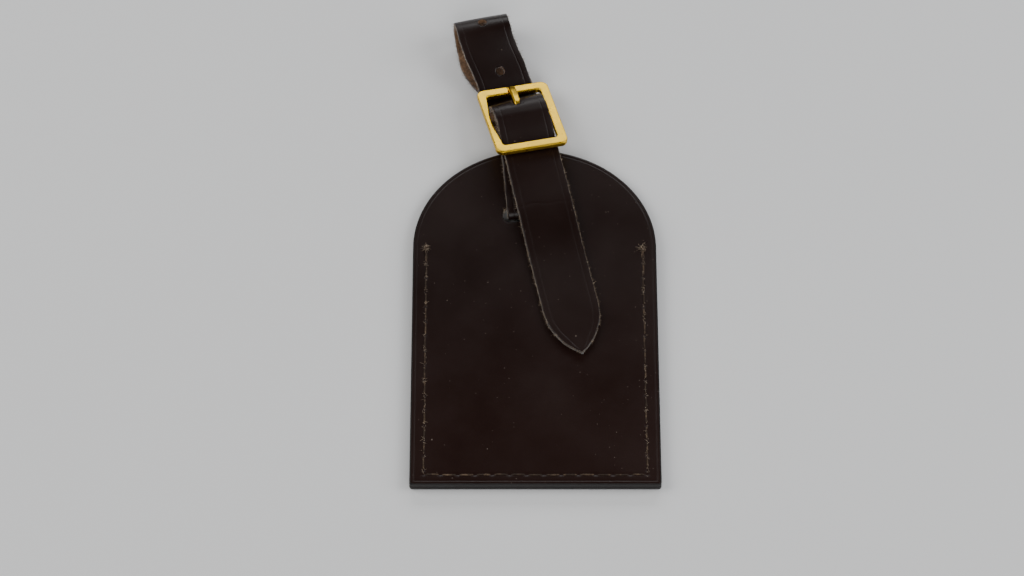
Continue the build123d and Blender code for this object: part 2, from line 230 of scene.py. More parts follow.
def specksGroup():
    # sparse pale dust specks, each a small round cell whose own random value is high enough
    n, start, end = newGroup("dust specks", [("Vector", "NodeSocketVector", None),
                                            ("Scale", "NodeSocketFloat", 500.0),
                                            ("Amount", "NodeSocketFloat", 0.04),
                                            ("Size", "NodeSocketFloat", 0.12)],
                             [("Mask", "NodeSocketFloat")])
    cell = n.add("ShaderNodeTexVoronoi", {"Vector": start.outputs["Vector"],
                                          "Scale": start.outputs["Scale"]}, feature="F1")
    chance = n.add("ShaderNodeSeparateColor", {"Color": cell.outputs["Color"]})
    few = n.math("LESS_THAN", chance.outputs[0], start.outputs["Amount"])
    size = n.math("MULTIPLY", start.outputs["Size"], n.ramp(chance.outputs[1], 0.0, 1.0, 0.4, 1.3))
    near = n.math("LESS_THAN", cell.outputs["Distance"], size)
    mask = n.math("MULTIPLY", n.math("MULTIPLY", few, near), n.ramp(chance.outputs[2], 0, 1, 0.25, 1.0))
    n.tree.links.new(mask, end.inputs["Mask"])
    return n.tree


def fibreGroup():
    # rough fibres of a leather's raw edge or flesh side: a height and a colour mask
    n, start, end = newGroup("raw fibres", [("Vector", "NodeSocketVector", None),
                                           ("Scale", "NodeSocketFloat", 1500.0)],
                             [("Height", "NodeSocketFloat"), ("Mask", "NodeSocketFloat")])
    vector, scale = start.outputs["Vector"], start.outputs["Scale"]
    long = n.noise(vector, scale, 5.0, 0.7)
    clump = n.noise(vector, n.math("MULTIPLY", scale, 0.28), 4.0, 0.65)
    height = n.math("ADD", n.math("MULTIPLY", long, 0.6), n.math("MULTIPLY", clump, 0.6))
    n.tree.links.new(height, end.inputs["Height"])
    n.tree.links.new(n.ramp(height, 0.45, 0.78), end.inputs["Mask"])
    return n.tree


def brushedGroup():
    # fine hairlines along the frame and soft smears, as a roughness and a height
    n, start, end = newGroup("satin brush", [("Vector", "NodeSocketVector", None)],
                             [("Height", "NodeSocketFloat"), ("Smear", "NodeSocketFloat"),
                              ("Pits", "NodeSocketFloat")])
    stretched = n.add("ShaderNodeMapping", {"Vector": start.outputs["Vector"],
                                            "Rotation": (0, 0, 0.24), "Scale": (0.12, 1.0, 1.0)}).outputs[0]
    hair = n.noise(stretched, 9000.0, 3.0, 0.6)
    smear = n.noise(start.outputs["Vector"], 260.0, 3.0, 0.6)
    cell = n.add("ShaderNodeTexVoronoi", {"Vector": start.outputs["Vector"], "Scale": 1600.0})
    chance = n.add("ShaderNodeSeparateColor", {"Color": cell.outputs["Color"]})
    pits = n.math("MULTIPLY", n.math("LESS_THAN", chance.outputs[0], 0.035),
                  n.math("LESS_THAN", cell.outputs["Distance"], 0.26))
    n.tree.links.new(n.math("SUBTRACT", hair, n.math("MULTIPLY", pits, 2.5)), end.inputs["Height"])
    n.tree.links.new(n.ramp(smear, 0.35, 0.65), end.inputs["Smear"])
    n.tree.links.new(pits, end.inputs["Pits"])
    return n.tree


grainGroup, dustGroup = leatherGrainGroup(), specksGroup()
rawGroup, satinGroup = fibreGroup(), brushedGroup()


def newMaterial(name):
    material = bpy.data.materials.new(name)
    material.use_nodes = True
    material.node_tree.nodes.clear()
    n = Nodes(material.node_tree)
    shader = n.add("ShaderNodeBsdfPrincipled")
    out = n.add("ShaderNodeOutputMaterial")
    n.tree.links.new(shader.outputs[0], out.inputs[0])
    return material, n, shader


def objectPlace(n):
    return n.add("ShaderNodeTexCoord").outputs["Object"]


def addGroup(n, tree, inputs):
    node = n.add("ShaderNodeGroup", node_tree=tree)
    for key, value in inputs.items():
        if isinstance(value, bpy.types.NodeSocket):
            n.tree.links.new(value, node.inputs[key])
        else:
            node.inputs[key].default_value = value
    return node


def bump(n, shader, height, strength, distance):
    node = n.add("ShaderNodeBump", {"Height": height, "Strength": strength, "Distance": distance})
    n.tree.links.new(node.outputs[0], shader.inputs["Normal"])


bridle = {"deep": (0.0082, 0.0034, 0.0026, 1), "warm": (0.0165, 0.0050, 0.0030, 1),
          "pore": (0.004, 0.002, 0.002, 1), "dust": (0.30, 0.24, 0.20, 1), "roughness": 0.35,
          "poreScale": 2600.0, "speckScale": 520.0, "speckSize": 0.10, "lintScale": 1500.0,
          "lintSize": 0.16, "specular": 0.29, "coat": 0.03, "coatRoughness": 0.28,
          "footFrom": -0.01, "footTo": -0.06, "footWarmth": 0.4}


def bridleLeather(name, warmth, dustAmount):
    # dark waxed leather: two browns mottled together, fine pores, dust specks and a soft shine
    material, n, shader = newMaterial(name)
    place = objectPlace(n)
    grain = addGroup(n, grainGroup, {"Vector": place, "Pore Scale": bridle["poreScale"]})
    specks = addGroup(n, dustGroup, {"Vector": place, "Scale": bridle["speckScale"],
                                     "Amount": dustAmount, "Size": bridle["speckSize"]})
    lint = addGroup(n, dustGroup, {"Vector": place, "Scale": bridle["lintScale"],
                                   "Amount": dustAmount * 0.7, "Size": bridle["lintSize"]})
    tone = n.ramp(grain.outputs["Mottle"], 0, 1, warmth - 0.14, warmth + 0.14)
    # the leather is a little redder towards the tag's foot
    footwards = n.add("ShaderNodeSeparateXYZ", {"Vector": place}).outputs[1]
    nearFoot = n.ramp(footwards, bridle["footFrom"], bridle["footTo"], 0.0, bridle["footWarmth"])
    tone = n.math("ADD", tone, nearFoot, clamp=True)
    colour = n.mix(tone, bridle["deep"], bridle["warm"])
    colour = n.mix(n.ramp(grain.outputs["Pores"], 0.0, 1.0, 0.35, 0.0), colour, bridle["pore"])
    dust = n.math("MAXIMUM", specks.outputs[0], n.math("MULTIPLY", lint.outputs[0], 0.6))
    colour = n.mix(n.math("MULTIPLY", dust, 0.75), colour, bridle["dust"])
    n.tree.links.new(colour, shader.inputs["Base Color"])
    rough = n.ramp(grain.outputs["Mottle"], 0, 1, bridle["roughness"] - 0.05, bridle["roughness"] + 0.08)
    n.tree.links.new(n.math("ADD", rough, n.math("MULTIPLY", dust, 0.4)), shader.inputs["Roughness"])
    shader.inputs["Specular IOR Level"].default_value = bridle["specular"]
    shader.inputs["Coat Weight"].default_value = bridle["coat"]
    shader.inputs["Coat Roughness"].default_value = bridle["coatRoughness"]
    bump(n, shader, grain.outputs["Height"], 0.35, 0.00006)
    return material


burnished = {"dark": (0.004, 0.003, 0.003, 1), "pale": (0.011, 0.007, 0.006, 1), "scale": 900.0,
             "roughness": (0.34, 0.5), "specular": 0.3}


def paintedEdge():
    # the tag's dyed and burnished rim, smoother than the faces, with faint layers along it
    material, n, shader = newMaterial("painted edge")
    place = objectPlace(n)
    fibres = addGroup(n, rawGroup, {"Vector": place, "Scale": burnished["scale"]})
    colour = n.mix(fibres.outputs["Mask"], burnished["dark"], burnished["pale"])
    n.tree.links.new(colour, shader.inputs["Base Color"])
    rough = n.ramp(fibres.outputs["Height"], 0.3, 0.9, *burnished["roughness"])
    n.tree.links.new(rough, shader.inputs["Roughness"])
    shader.inputs["Specular IOR Level"].default_value = burnished["specular"]
    bump(n, shader, fibres.outputs["Height"], 0.25, 0.0001)
    return material


rawSide = {"fine": 1700.0, "coarse": 600.0, "roughness": 0.92, "specular": 0.2, "sheen": 0.35,
           "sheenRoughness": 0.5}


def rawLeather(name, dark, pale, low, high, strength):
    # a cut edge or a flesh side: matted fibres between a dark dye and the pale undyed core. The
    # pale share runs from none where the fibre masks add up to low, to all of it at high.
    material, n, shader = newMaterial(name)
    place = objectPlace(n)
    fibres = addGroup(n, rawGroup, {"Vector": place, "Scale": rawSide["fine"]})
    coarse = addGroup(n, rawGroup, {"Vector": place, "Scale": rawSide["coarse"]})
    masks = n.math("ADD", fibres.outputs["Mask"], n.math("MULTIPLY", coarse.outputs["Mask"], 0.8))
    n.tree.links.new(n.mix(n.ramp(masks, low, high), dark, pale), shader.inputs["Base Color"])
    shader.inputs["Roughness"].default_value = rawSide["roughness"]
    shader.inputs["Specular IOR Level"].default_value = rawSide["specular"]
    shader.inputs["Sheen Weight"].default_value = rawSide["sheen"]
    shader.inputs["Sheen Roughness"].default_value = rawSide["sheenRoughness"]
    bump(n, shader, n.math("ADD", fibres.outputs["Height"], coarse.outputs["Height"]), strength, 0.0003)
    return material


tanThread = {"shade": (0.045, 0.028, 0.018, 1), "light": (0.19, 0.128, 0.080, 1),
             "soaked": (0.020, 0.012, 0.009, 1), "fibreScale": 2600.0, "soakScale": 330.0}


def waxedThread():
    # tan thread, dark where wax and dye have soaked in
    material, n, shader = newMaterial("waxed thread")
    place = objectPlace(n)
    fibres = addGroup(n, rawGroup, {"Vector": place, "Scale": tanThread["fibreScale"]})
    soak = n.ramp(n.noise(place, tanThread["soakScale"], 4.0, 0.7), 0.36, 0.52)
    clean = n.mix(fibres.outputs["Mask"], tanThread["shade"], tanThread["light"])
    colour = n.mix(n.math("MULTIPLY", soak, 0.85), clean, tanThread["soaked"])
    n.tree.links.new(colour, shader.inputs["Base Color"])
    shader.inputs["Roughness"].default_value = 0.8
    shader.inputs["Specular IOR Level"].default_value = 0.25
    bump(n, shader, fibres.outputs["Height"], 0.5, 0.00012)
    return material


def palerFuzz():
    # loose fibres, each stretch of them anywhere between brown and tan
    material, n, shader = newMaterial("loose fibres")
    shade = n.ramp(n.noise(objectPlace(n), 700.0, 2.0), 0.35, 0.65)
    n.tree.links.new(n.mix(shade, (0.16, 0.11, 0.075, 1), (0.46, 0.36, 0.26, 1)),
                     shader.inputs["Base Color"])
    shader.inputs["Roughness"].default_value = 0.85
    return material


gilt = {"deep": (0.72, 0.435, 0.025, 1), "bright": (0.78, 0.50, 0.045, 1), "pit": (0.28, 0.14, 0.03, 1),
        "roughness": (0.24, 0.36)}


def satinGold():
    # yellow gilt brass: satin faces with hairlines, smears and a few pits
    material, n, shader = newMaterial("satin gold")
    place = objectPlace(n)
    brush = addGroup(n, satinGroup, {"Vector": place})
    colour = n.mix(brush.outputs["Smear"], gilt["deep"], gilt["bright"])
    colour = n.mix(n.math("MULTIPLY", brush.outputs["Pits"], 0.7), colour, gilt["pit"])
    n.tree.links.new(colour, shader.inputs["Base Color"])
    shader.inputs["Metallic"].default_value = 1.0
    n.tree.links.new(n.ramp(brush.outputs["Smear"], 0, 1, *gilt["roughness"]), shader.inputs["Roughness"])
    bump(n, shader, brush.outputs["Height"], 0.18, 0.00004)
    return material


def shadeDarkBar():
    # the bar inside the buckle: dull metal whose near-black colour all over is painted shade, standing in for
    # the shadow of the strap above it
    material, n, shader = newMaterial("dulled bar")
    place = objectPlace(n)
    fibres = addGroup(n, rawGroup, {"Vector": place, "Scale": 900.0})
    # two near-black browns: painted shade from the strap lying over the bar
    n.tree.links.new(n.mix(fibres.outputs["Mask"], (0.030, 0.016, 0.006, 1), (0.10, 0.06, 0.015, 1)),
                     shader.inputs["Base Color"])
    shader.inputs["Metallic"].default_value = 0.8
    shader.inputs["Roughness"].default_value = 0.55
    return material


def clearSheet():
    # thin clear plastic with faint ripples and hairline scratches
    material, n, shader = newMaterial("clear sheet")
    place = objectPlace(n)
    ripple = n.noise(place, 90.0, 2.0)
    scratch = n.noise(n.add("ShaderNodeMapping", {"Vector": place, "Rotation": (0, 0, 0.6),
                                                  "Scale": (0.05, 1.0, 1.0)}).outputs[0], 2400.0, 2.0)
    n.tree.links.new(n.mix(ripple, (0.93, 0.95, 0.95, 1), (0.98, 0.98, 0.97, 1)), shader.inputs["Base Color"])
    n.tree.links.new(n.ramp(scratch, 0.55, 0.8, 0.06, 0.3), shader.inputs["Roughness"])
    shader.inputs["Transmission Weight"].default_value = 1.0
    shader.inputs["IOR"].default_value = 1.45
    bump(n, shader, n.math("ADD", ripple, n.math("MULTIPLY", scratch, 0.1)), 0.1, 0.0004)
    return material


card = {"linePitch": 8.5 * mm, "lineHalf": 0.018, "margin": 9 * mm, "paper": (0.80, 0.75, 0.64, 1),
        "fibre": (0.70, 0.64, 0.53, 1), "ink": (0.20, 0.22, 0.28, 1)}


def cardPaper():
    # cream card with fibres and ruled lines for an address
    material, n, shader = newMaterial("address card")
    place = objectPlace(n)
    split = n.add("ShaderNodeSeparateXYZ", {"Vector": place})
    cardLow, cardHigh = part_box("address_card")
    away = n.math("SUBTRACT", split.outputs[1], cardLow[1])
    ruling = n.math("FRACT", n.math("DIVIDE", away, card["linePitch"]))
    line = n.math("LESS_THAN", n.math("ABSOLUTE", n.math("SUBTRACT", ruling, 0.5)), card["lineHalf"])
    inside = n.math("LESS_THAN", n.math("ABSOLUTE", split.outputs[0]), cardHigh[0] - card["margin"])
    ink = n.math("MULTIPLY", line, inside)
    fibres = addGroup(n, rawGroup, {"Vector": place, "Scale": 1300.0})
    paper = n.mix(fibres.outputs["Mask"], card["paper"], card["fibre"])
    n.tree.links.new(n.mix(n.math("MULTIPLY", ink, 0.7), paper, card["ink"]), shader.inputs["Base Color"])
    shader.inputs["Roughness"].default_value = 0.85
    bump(n, shader, fibres.outputs["Height"], 0.15, 0.0001)
    return material


tagGrain = bridleLeather("tag leather", warmth=0.45, dustAmount=0.055)
strapGrain = bridleLeather("strap leather", warmth=0.40, dustAmount=0.045)
edgePaint = paintedEdge()
fleshSide = rawLeather("suede flesh side", dark=(0.040, 0.019, 0.010, 1), pale=(0.30, 0.165, 0.085, 1),
                       low=0.3, high=1.5, strength=1.0)
rawEdge = rawLeather("raw strap edge", dark=(0.035, 0.020, 0.014, 1), pale=(0.50, 0.38, 0.28, 1),
                     low=0.82, high=1.75, strength=1.0)
slotEdge = rawLeather("raw slot edge", dark=(0.035, 0.018, 0.010, 1), pale=(0.42, 0.26, 0.13, 1),
                      low=0.3, high=1.4, strength=0.8)
threadMaterial, fuzzMaterial = waxedThread(), palerFuzz()
goldMaterial, barMaterial = satinGold(), shadeDarkBar()
print("materials ready")


tag = {"straight": pocketHigh[1] - footY, "cornerRadius": 0.8 * mm, "slotHalf": (9.1 * mm, 2.5 * mm),
       "slotCorner": 2.0 * mm, "edgeRound": 0.5 * mm, "backRound": 0.15 * mm, "creaseInset": 1.15 * mm,
       "creaseWidth": 0.15 * mm, "creaseDepth": 0.08 * mm, "rimInset": 0.75 * mm, "rimWidth": 0.22 * mm,
       "rimHeight": 0.02 * mm, "band": 6.4 * mm, "footSteps": 139, "sideSteps": 154, "archSteps": 240,
       "cornerSteps": 8}
stitchHoles = {"sideMargin": 3.9 * mm, "footMargin": 3.1 * mm, "pitch": 4.8 * mm, "topGap": 0.6 * mm,
               "footGap": 1.2 * mm, "dimpleDepth": 0.20 * mm, "troughDepth": 0.05 * mm,
               "pullReach": 0.42 * mm}
halfWidth = (tagHigh[0] - tagLow[0]) / 2
midX = (tagHigh[0] + tagLow[0]) / 2
springY = footY + tag["straight"]
archRise = tagHigh[1] - springY
slotCentre = np.array([midX, slotPoint[1]])


def tagLoop(inset):
    # the tag's outline moved inwards: straight foot and sides, and a half-ellipse top whose
    # points move along the ellipse's own normal
    radius = max(tag["cornerRadius"] - inset, 1e-6)
    left, right, low = midX - halfWidth + inset, midX + halfWidth - inset, footY + inset
    quarter = np.linspace(0, math.pi / 2, tag["cornerSteps"] + 1)
    foot = np.linspace(left + radius, right - radius, tag["footSteps"] + 1)[1:-1]
    foot = np.stack([foot, low + 0 * foot], -1)
    rightArc = np.stack([right - radius + radius * np.sin(quarter),
                         low + radius - radius * np.cos(quarter)], -1)
    leftArc = np.stack([left + radius - radius * np.cos(quarter),
                        low + radius - radius * np.sin(quarter)], -1)
    rise = np.linspace(0, 1, tag["sideSteps"] + 1)[1:-1]
    upRight = np.stack([right + 0 * rise, low + radius + (springY - low - radius) * rise], -1)
    upLeft = np.stack([left + 0 * rise, low + radius + (springY - low - radius) * rise[::-1]], -1)
    angle = np.linspace(0, math.pi, tag["archSteps"] + 1)
    arch = np.stack([halfWidth * np.cos(angle), archRise * np.sin(angle)], -1)
    normal = np.stack([np.cos(angle) / halfWidth, np.sin(angle) / archRise], -1)
    normal /= np.linalg.norm(normal, axis=1)[:, None]
    arch = arch - normal * inset + [midX, springY]
    return np.concatenate([foot, rightArc, upRight, arch, upLeft, leftArc])


def seamHoles():
    # the awl holes of the three rows, each joined to the next by a stitch
    pitch = stitchHoles["pitch"]
    side, low = halfWidth - stitchHoles["sideMargin"], footY + stitchHoles["footMargin"]
    top, first = springY - stitchHoles["topGap"], low + stitchHoles["footGap"]
    up = np.linspace(first, top, round((top - first) / pitch) + 1)
    over = np.linspace(midX - side, midX + side, round(2 * side / pitch) + 1)
    return {"seam_left": np.stack([midX - side + 0 * up, up], -1),
            "seam_right": np.stack([midX + side + 0 * up, up], -1),
            "seam_bottom": np.stack([over, low + 0 * over], -1)}


holes = seamHoles()
allHoles = np.concatenate(list(holes.values()))


def seamRelief(points):
    # how far the thread has pulled the leather down: a dimple at each hole, and a faint trough
    # under each row, both falling off as a bell curve
    away = points[:, None, :2] - allHoles[None]
    near = np.sqrt((away ** 2).sum(-1)).min(1)
    reach = stitchHoles["pullReach"]
    relief = stitchHoles["dimpleDepth"] * np.exp(-(near / reach) ** 2)
    for name, row in holes.items():
        along, across = (0, 1) if name == "seam_bottom" else (1, 0)
        inRow = (points[:, along] > row[:, along].min()) & (points[:, along] < row[:, along].max())
        trough = stitchHoles["troughDepth"] * np.exp(-((points[:, across] - row[0, across]) / reach) ** 2)
        relief += np.where(inRow, trough, 0)
    return relief


def edgeCrease(inset):
    # the depth of the pressed line that runs round a leather's edge, at a distance from it
    return tag["creaseDepth"] * math.exp(-((inset - tag["creaseInset"]) / tag["creaseWidth"]) ** 2)


def buildFrontLeather():
    # rings of points from the underside, round the burnished edge and in over the face
    edge, backRound, height = tag["edgeRound"], tag["backRound"], tagFace - tagBack
    turn = np.linspace(0, math.pi / 2, 7)
    rings = [(tag["band"], tagBack), (3.0 * mm, tagBack), (0.5 * mm, tagBack)]
    rings += [(backRound * (1 - math.sin(a)), tagBack + backRound * (1 - math.cos(a))) for a in turn[::3]]
    rings += [(0.0, tagBack + height * 0.4)]
    rings += [(edge * (1 - math.cos(a)), tagFace - edge * (1 - math.sin(a)) * 0.9) for a in turn]
    # distances in from the edge in mm, close together at the crease and at the seam
    insets = [0.65, 0.8, 0.9, 0.98, 1.05, 1.1, 1.15, 1.2, 1.26, 1.34, 1.45, 1.65, 2.0, 2.4, 2.7, 2.95, 3.1,
              3.25, 3.45, 3.6, 3.75, 3.9, 4.05, 4.2, 4.4, 4.7, 5.1, 5.7]
    rings += [(k * mm, tagFace) for k in insets] + [(tag["band"], tagFace)]
    topFirst = len(rings) - len(insets) - 1
    loops = []
    for number, (inset, z) in enumerate(rings):
        flat = tagLoop(inset)
        heights = np.full(len(flat), z)
        if number >= topFirst:
            rim = tag["rimHeight"] * math.exp(-((inset - tag["rimInset"]) / tag["rimWidth"]) ** 2)
            heights += -edgeCrease(inset) - seamRelief(flat) + rim
        loops.append(np.column_stack([flat, heights]))
    verts, faces = ringShell(loops)
    count = len(loops[0])
    ringOf = np.arange(len(faces)) // count
    slots = np.where(ringOf < 3, 2, np.where(ringOf < topFirst - 2, 1, 0))
    # the slot: from the underside up its cut wall and over its softened rim
    hx, hy = tag["slotHalf"]
    corners = [(slotCentre[0] - hx, slotCentre[1] - hy), (slotCentre[0] + hx, slotCentre[1] - hy),
               (slotCentre[0] + hx, slotCentre[1] + hy), (slotCentre[0] - hx, slotCentre[1] + hy)]
    slotRings = [(-0.5, tagBack), (-0.12, tagBack), (0.0, tagBack + 0.12 * mm), (0.0, tagBack + height * 0.5),
                 (0.0, tagFace - 0.30 * mm), (-0.05, tagFace - 0.14 * mm), (-0.16, tagFace - 0.05 * mm),
                 (-0.34, tagFace - 0.01 * mm), (-0.9, tagFace)]
    slotLoops = []
    for grow, z in slotRings:
        flat = roundedLoop(corners, [tag["slotCorner"]] * 4, grow * mm, arcSteps=13)
        slotLoops.append(np.column_stack([flat, np.full(len(flat), z)]))
    slotVerts, slotFaces = ringShell(slotLoops)
    base, slotCount = len(verts), len(slotLoops[0])
    verts = np.concatenate([verts, slotVerts])
    slotFaces = slotFaces[:, ::-1] + base
    slotRing = np.arange(len(slotFaces)) // slotCount
    slotSlots = np.where(slotRing < 1, 2, np.where(slotRing < 5, 3, 0))
    faceList = faces.tolist() + slotFaces.tolist()
    slots = slots.tolist() + slotSlots.tolist()
    outerBottom, outerTop = np.arange(count), np.arange(count) + (len(loops) - 1) * count
    innerBottom = np.arange(slotCount) + base
    innerTop = innerBottom + (len(slotLoops) - 1) * slotCount
    for outer, inner, up, slot in ((outerTop, innerTop, 1, 0), (outerBottom, innerBottom, -1, 2)):
        filled = faceUp(verts, fillBetween(verts, outer, inner), up).tolist()
        faceList += filled
        slots += [slot] * len(filled)
    return makePiece("frontLeather", verts, faceList, [tagGrain, edgePaint, fleshSide, slotEdge], slots)


frontLeather = buildFrontLeather()
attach(frontLeather, "tag")
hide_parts("front_panel")
print("front leather", len(frontLeather.data.polygons))


pocket = {"margin": 5.2 * mm, "depth": 0.8 * mm, "windowHalf": (23 * mm, 27 * mm),
          "windowRise": 11 * mm, "windowCorner": 4 * mm, "thumb": 7 * mm, "edgeRound": 0.4 * mm,
          "step": 0.35 * mm}


def pocketInside(points):
    # the inner face's height: full at the sewn margin, and lower where the card goes
    full, low = pocketHigh[2], pocketHigh[2] - pocket["depth"]
    side = (halfWidth - pocket["margin"] - np.abs(points[:, 0] - midX)) / pocket["step"]
    foot = (points[:, 1] - footY - pocket["margin"]) / pocket["step"]
    share = np.clip(np.minimum(side, foot) + 0.5, 0, 1)
    return full + (low - full) * share


def buildPocketLeather():
    left, right, low, top = midX - halfWidth, midX + halfWidth, footY, springY
    thumb = pocket["thumb"]
    corners = [(left, low), (right, low), (right, top), (midX + thumb, top), (midX + thumb, top - thumb),
               (midX - thumb, top - thumb), (midX - thumb, top), (left, top)]
    radii = [tag["cornerRadius"], tag["cornerRadius"], 0.3 * mm, 0.5 * mm, thumb - 0.02 * mm,
             thumb - 0.02 * mm, 0.5 * mm, 0.3 * mm]
    insets = [5.6, 4.6, 4.3, 4.1, 3.9, 3.7, 3.5, 3.25, 3.1, 2.95, 2.7, 2.0, 1.4, 1.25, 1.15, 1.05, 0.9, 0.6]
    turn = np.linspace(0, math.pi / 2, 6)
    edge = pocket["edgeRound"]
    rings = [(k * mm, "out") for k in insets]
    rings += [(edge * (1 - math.sin(a)), edge * (1 - math.cos(a))) for a in turn]
    rings += [(0.0, "mid"), (0.0, "brim")] + [(k * mm, "in") for k in (0.12, 1.5, 4.9, 5.6)]
    loops = []
    for inset, z in rings:
        flat = roundedLoop(corners, radii, inset, arcSteps=15)
        inner = pocketInside(flat)
        if z == "out":
            heights = seamRelief(flat) * 0.8 + edgeCrease(inset)
        elif z == "mid":
            heights = inner * 0.55
        elif z == "brim":
            heights = inner - 0.1 * mm
        elif z == "in":
            heights = inner
        else:
            heights = np.full(len(flat), z)
        loops.append(np.column_stack([flat, heights]))
    verts, faces = ringShell(loops)
    count = len(loops[0])
    ringOf = np.arange(len(faces)) // count
    slots = np.where(ringOf < len(insets) + 1, 0, np.where(ringOf < len(loops) - 4, 1, 2))
    hx, hy = pocket["windowHalf"]
    centre = np.array([midX, footY + pocket["windowRise"] + hy])
    window = [(centre[0] - hx, centre[1] - hy), (centre[0] + hx, centre[1] - hy),
              (centre[0] + hx, centre[1] + hy), (centre[0] - hx, centre[1] + hy)]
    floorZ = pocketHigh[2] - pocket["depth"]
    # each ring's distance out from the window's edge and its height, both in mm: a pressed line,
    # a softened rim, and the cut wall up to the pocket's inside
    windowRings = [(-2.2, 0.0), (-1.5, 0.0), (-1.3, 0.05), (-1.2, 0.11), (-1.1, 0.05), (-0.9, 0.0),
                   (-0.4, 0.0), (-0.15, 0.06), (-0.03, 0.2), (0.0, 0.4), (0.0, floorZ / mm - 0.1),
                   (-0.1, floorZ / mm), (-1.5, floorZ / mm)]
    windowLoops = []
    for grow, z in windowRings:
        flat = roundedLoop(window, [pocket["windowCorner"]] * 4, grow * mm, arcSteps=11)
        windowLoops.append(np.column_stack([flat, np.full(len(flat), z * mm)]))
    windowVerts, windowFaces = ringShell(windowLoops)
    base, windowCount = len(verts), len(windowLoops[0])
    verts = np.concatenate([verts, windowVerts])
    windowFaces = windowFaces[:, ::-1] + base
    windowRing = np.arange(len(windowFaces)) // windowCount
    windowSlots = np.where(windowRing < 7, 0, np.where(windowRing < 10, 1, 2))
    faceList = faces[:, ::-1].tolist() + windowFaces[:, ::-1].tolist()
    slots = slots.tolist() + windowSlots.tolist()
    outerOut, outerIn = np.arange(count), np.arange(count) + (len(loops) - 1) * count
    innerOut = np.arange(windowCount) + base
    innerIn = innerOut + (len(windowLoops) - 1) * windowCount
    for outer, inner, up, slot in ((outerIn, innerIn, 1, 2), (outerOut, innerOut, -1, 0)):
        filled = faceUp(verts, fillBetween(verts, outer, inner), up).tolist()
        faceList += filled
        slots += [slot] * len(filled)
    return makePiece("pocketLeather", verts, faceList, [tagGrain, edgePaint, fleshSide], slots)


pocketLeather = buildPocketLeather()
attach(pocketLeather, "tag")
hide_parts("pocket_panel")
print("pocket leather", len(pocketLeather.data.polygons))


thread = {"radius": 0.25 * mm, "sink": 0.40 * mm, "arch": 0.06 * mm, "twists": 5.0, "ply": 0.13,
          "lean": 0.12 * mm, "endGap": 0.25 * mm, "around": 10, "along": 22,
          "backFace": pocketLow[2] + 0.30 * mm, "tackShifts": (0.34 * mm, -0.30 * mm)}


def stitchTube(start, end, faceZ, side, seed):
    # one stitch: a round thread whose middle arches just over the leather and whose ends dive
    # into their holes. Two plies wind round it as a ripple in its radius.
    t = np.linspace(0, 1, thread["along"])[:, None]
    a = np.linspace(0, 2 * math.pi, thread["around"], endpoint=False)[None]
    rng = np.random.default_rng(seed)
    lean = rng.uniform(-1, 1) * thread["lean"]
    ahead = (end - start) / np.linalg.norm(end - start)
    length = np.linalg.norm(end - start) - thread["endGap"]
    centre = (start + end) / 2
    ends = np.abs(2 * t - 1) ** 5
    lift = thread["arch"] * (1 - ends) - thread["sink"] * ends * 1.6
    swell = thread["radius"] * (1 + thread["ply"] * np.cos(2 * (a - math.pi * thread["twists"] * t)))
    swell = swell * (1 - 0.45 * np.abs(2 * t - 1) ** 8) * rng.uniform(0.92, 1.08)
    along = (t - 0.5) * length
    sideways = lean * np.sin(math.pi * t) + swell * np.cos(a)
    x = centre[0] + ahead[0] * along - ahead[1] * sideways
    y = centre[1] + ahead[1] * along + ahead[0] * sideways
    z = faceZ + side * (lift - thread["radius"] * 0.5 + swell * np.sin(a))
    return np.stack([x, y, z], -1).reshape(-1, 3)


def capTube(rows, cols, base):
    # quads along a tube and a flat cap on each of its ends
    first, last = base + np.arange(cols), base + (rows - 1) * cols + np.arange(cols)
    sides = gridFaces(rows, cols, wrapCols=True, base=base)
    return sides.tolist() + [first[::-1].tolist(), last.tolist()]


def fixNormals(piece):
    mesh = bmesh.new()
    mesh.from_mesh(piece.data)
    bmesh.ops.recalc_face_normals(mesh, faces=mesh.faces)
    mesh.to_mesh(piece.data)
    mesh.free()


def sewnPiece(name, stitches):
    # one object of many stitches, each a capped tube of the same count of points
    faces = []
    for number, stitch in enumerate(stitches):
        faces += capTube(thread["along"], thread["around"], number * len(stitch))
    piece = makePiece(name, np.concatenate(stitches), faces, [threadMaterial])
    fixNormals(piece)
    return piece


def buildSeam(name, row, number):
    stitches = []
    firstSeed = number * 1000
    for side, faceZ in ((1, tagFace), (-1, thread["backFace"])):
        for k in range(len(row) - 1):
            seed = firstSeed + k * 2 + (side > 0)
            stitches.append(stitchTube(row[k], row[k + 1], faceZ, side, seed))
    if name != "seam_bottom":
        # the back-tack: two more passes over the last stitch, and one across the top
        for shift in thread["tackShifts"]:
            start = row[-2] + [shift, 0.9 * mm]
            end = row[-1] + [-shift * 0.6, 0.25 * mm]
            seed = firstSeed + 500 + int(shift / mm * 9)
            stitches.append(stitchTube(start, end, tagFace + 0.12 * mm, 1, seed))
        start, end = row[-1] + [-0.7 * mm, 0.1 * mm], row[-1] + [0.9 * mm, 0.45 * mm]
        stitches.append(stitchTube(start, end, tagFace + 0.16 * mm, 1, firstSeed + 700))
    piece = sewnPiece(name.replace("seam_", "seamThread_"), stitches)
    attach(piece, "tag")
    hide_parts(name)


for number, (name, row) in enumerate(holes.items()):
    buildSeam(name, row, number + 1)
print("seams sewn")


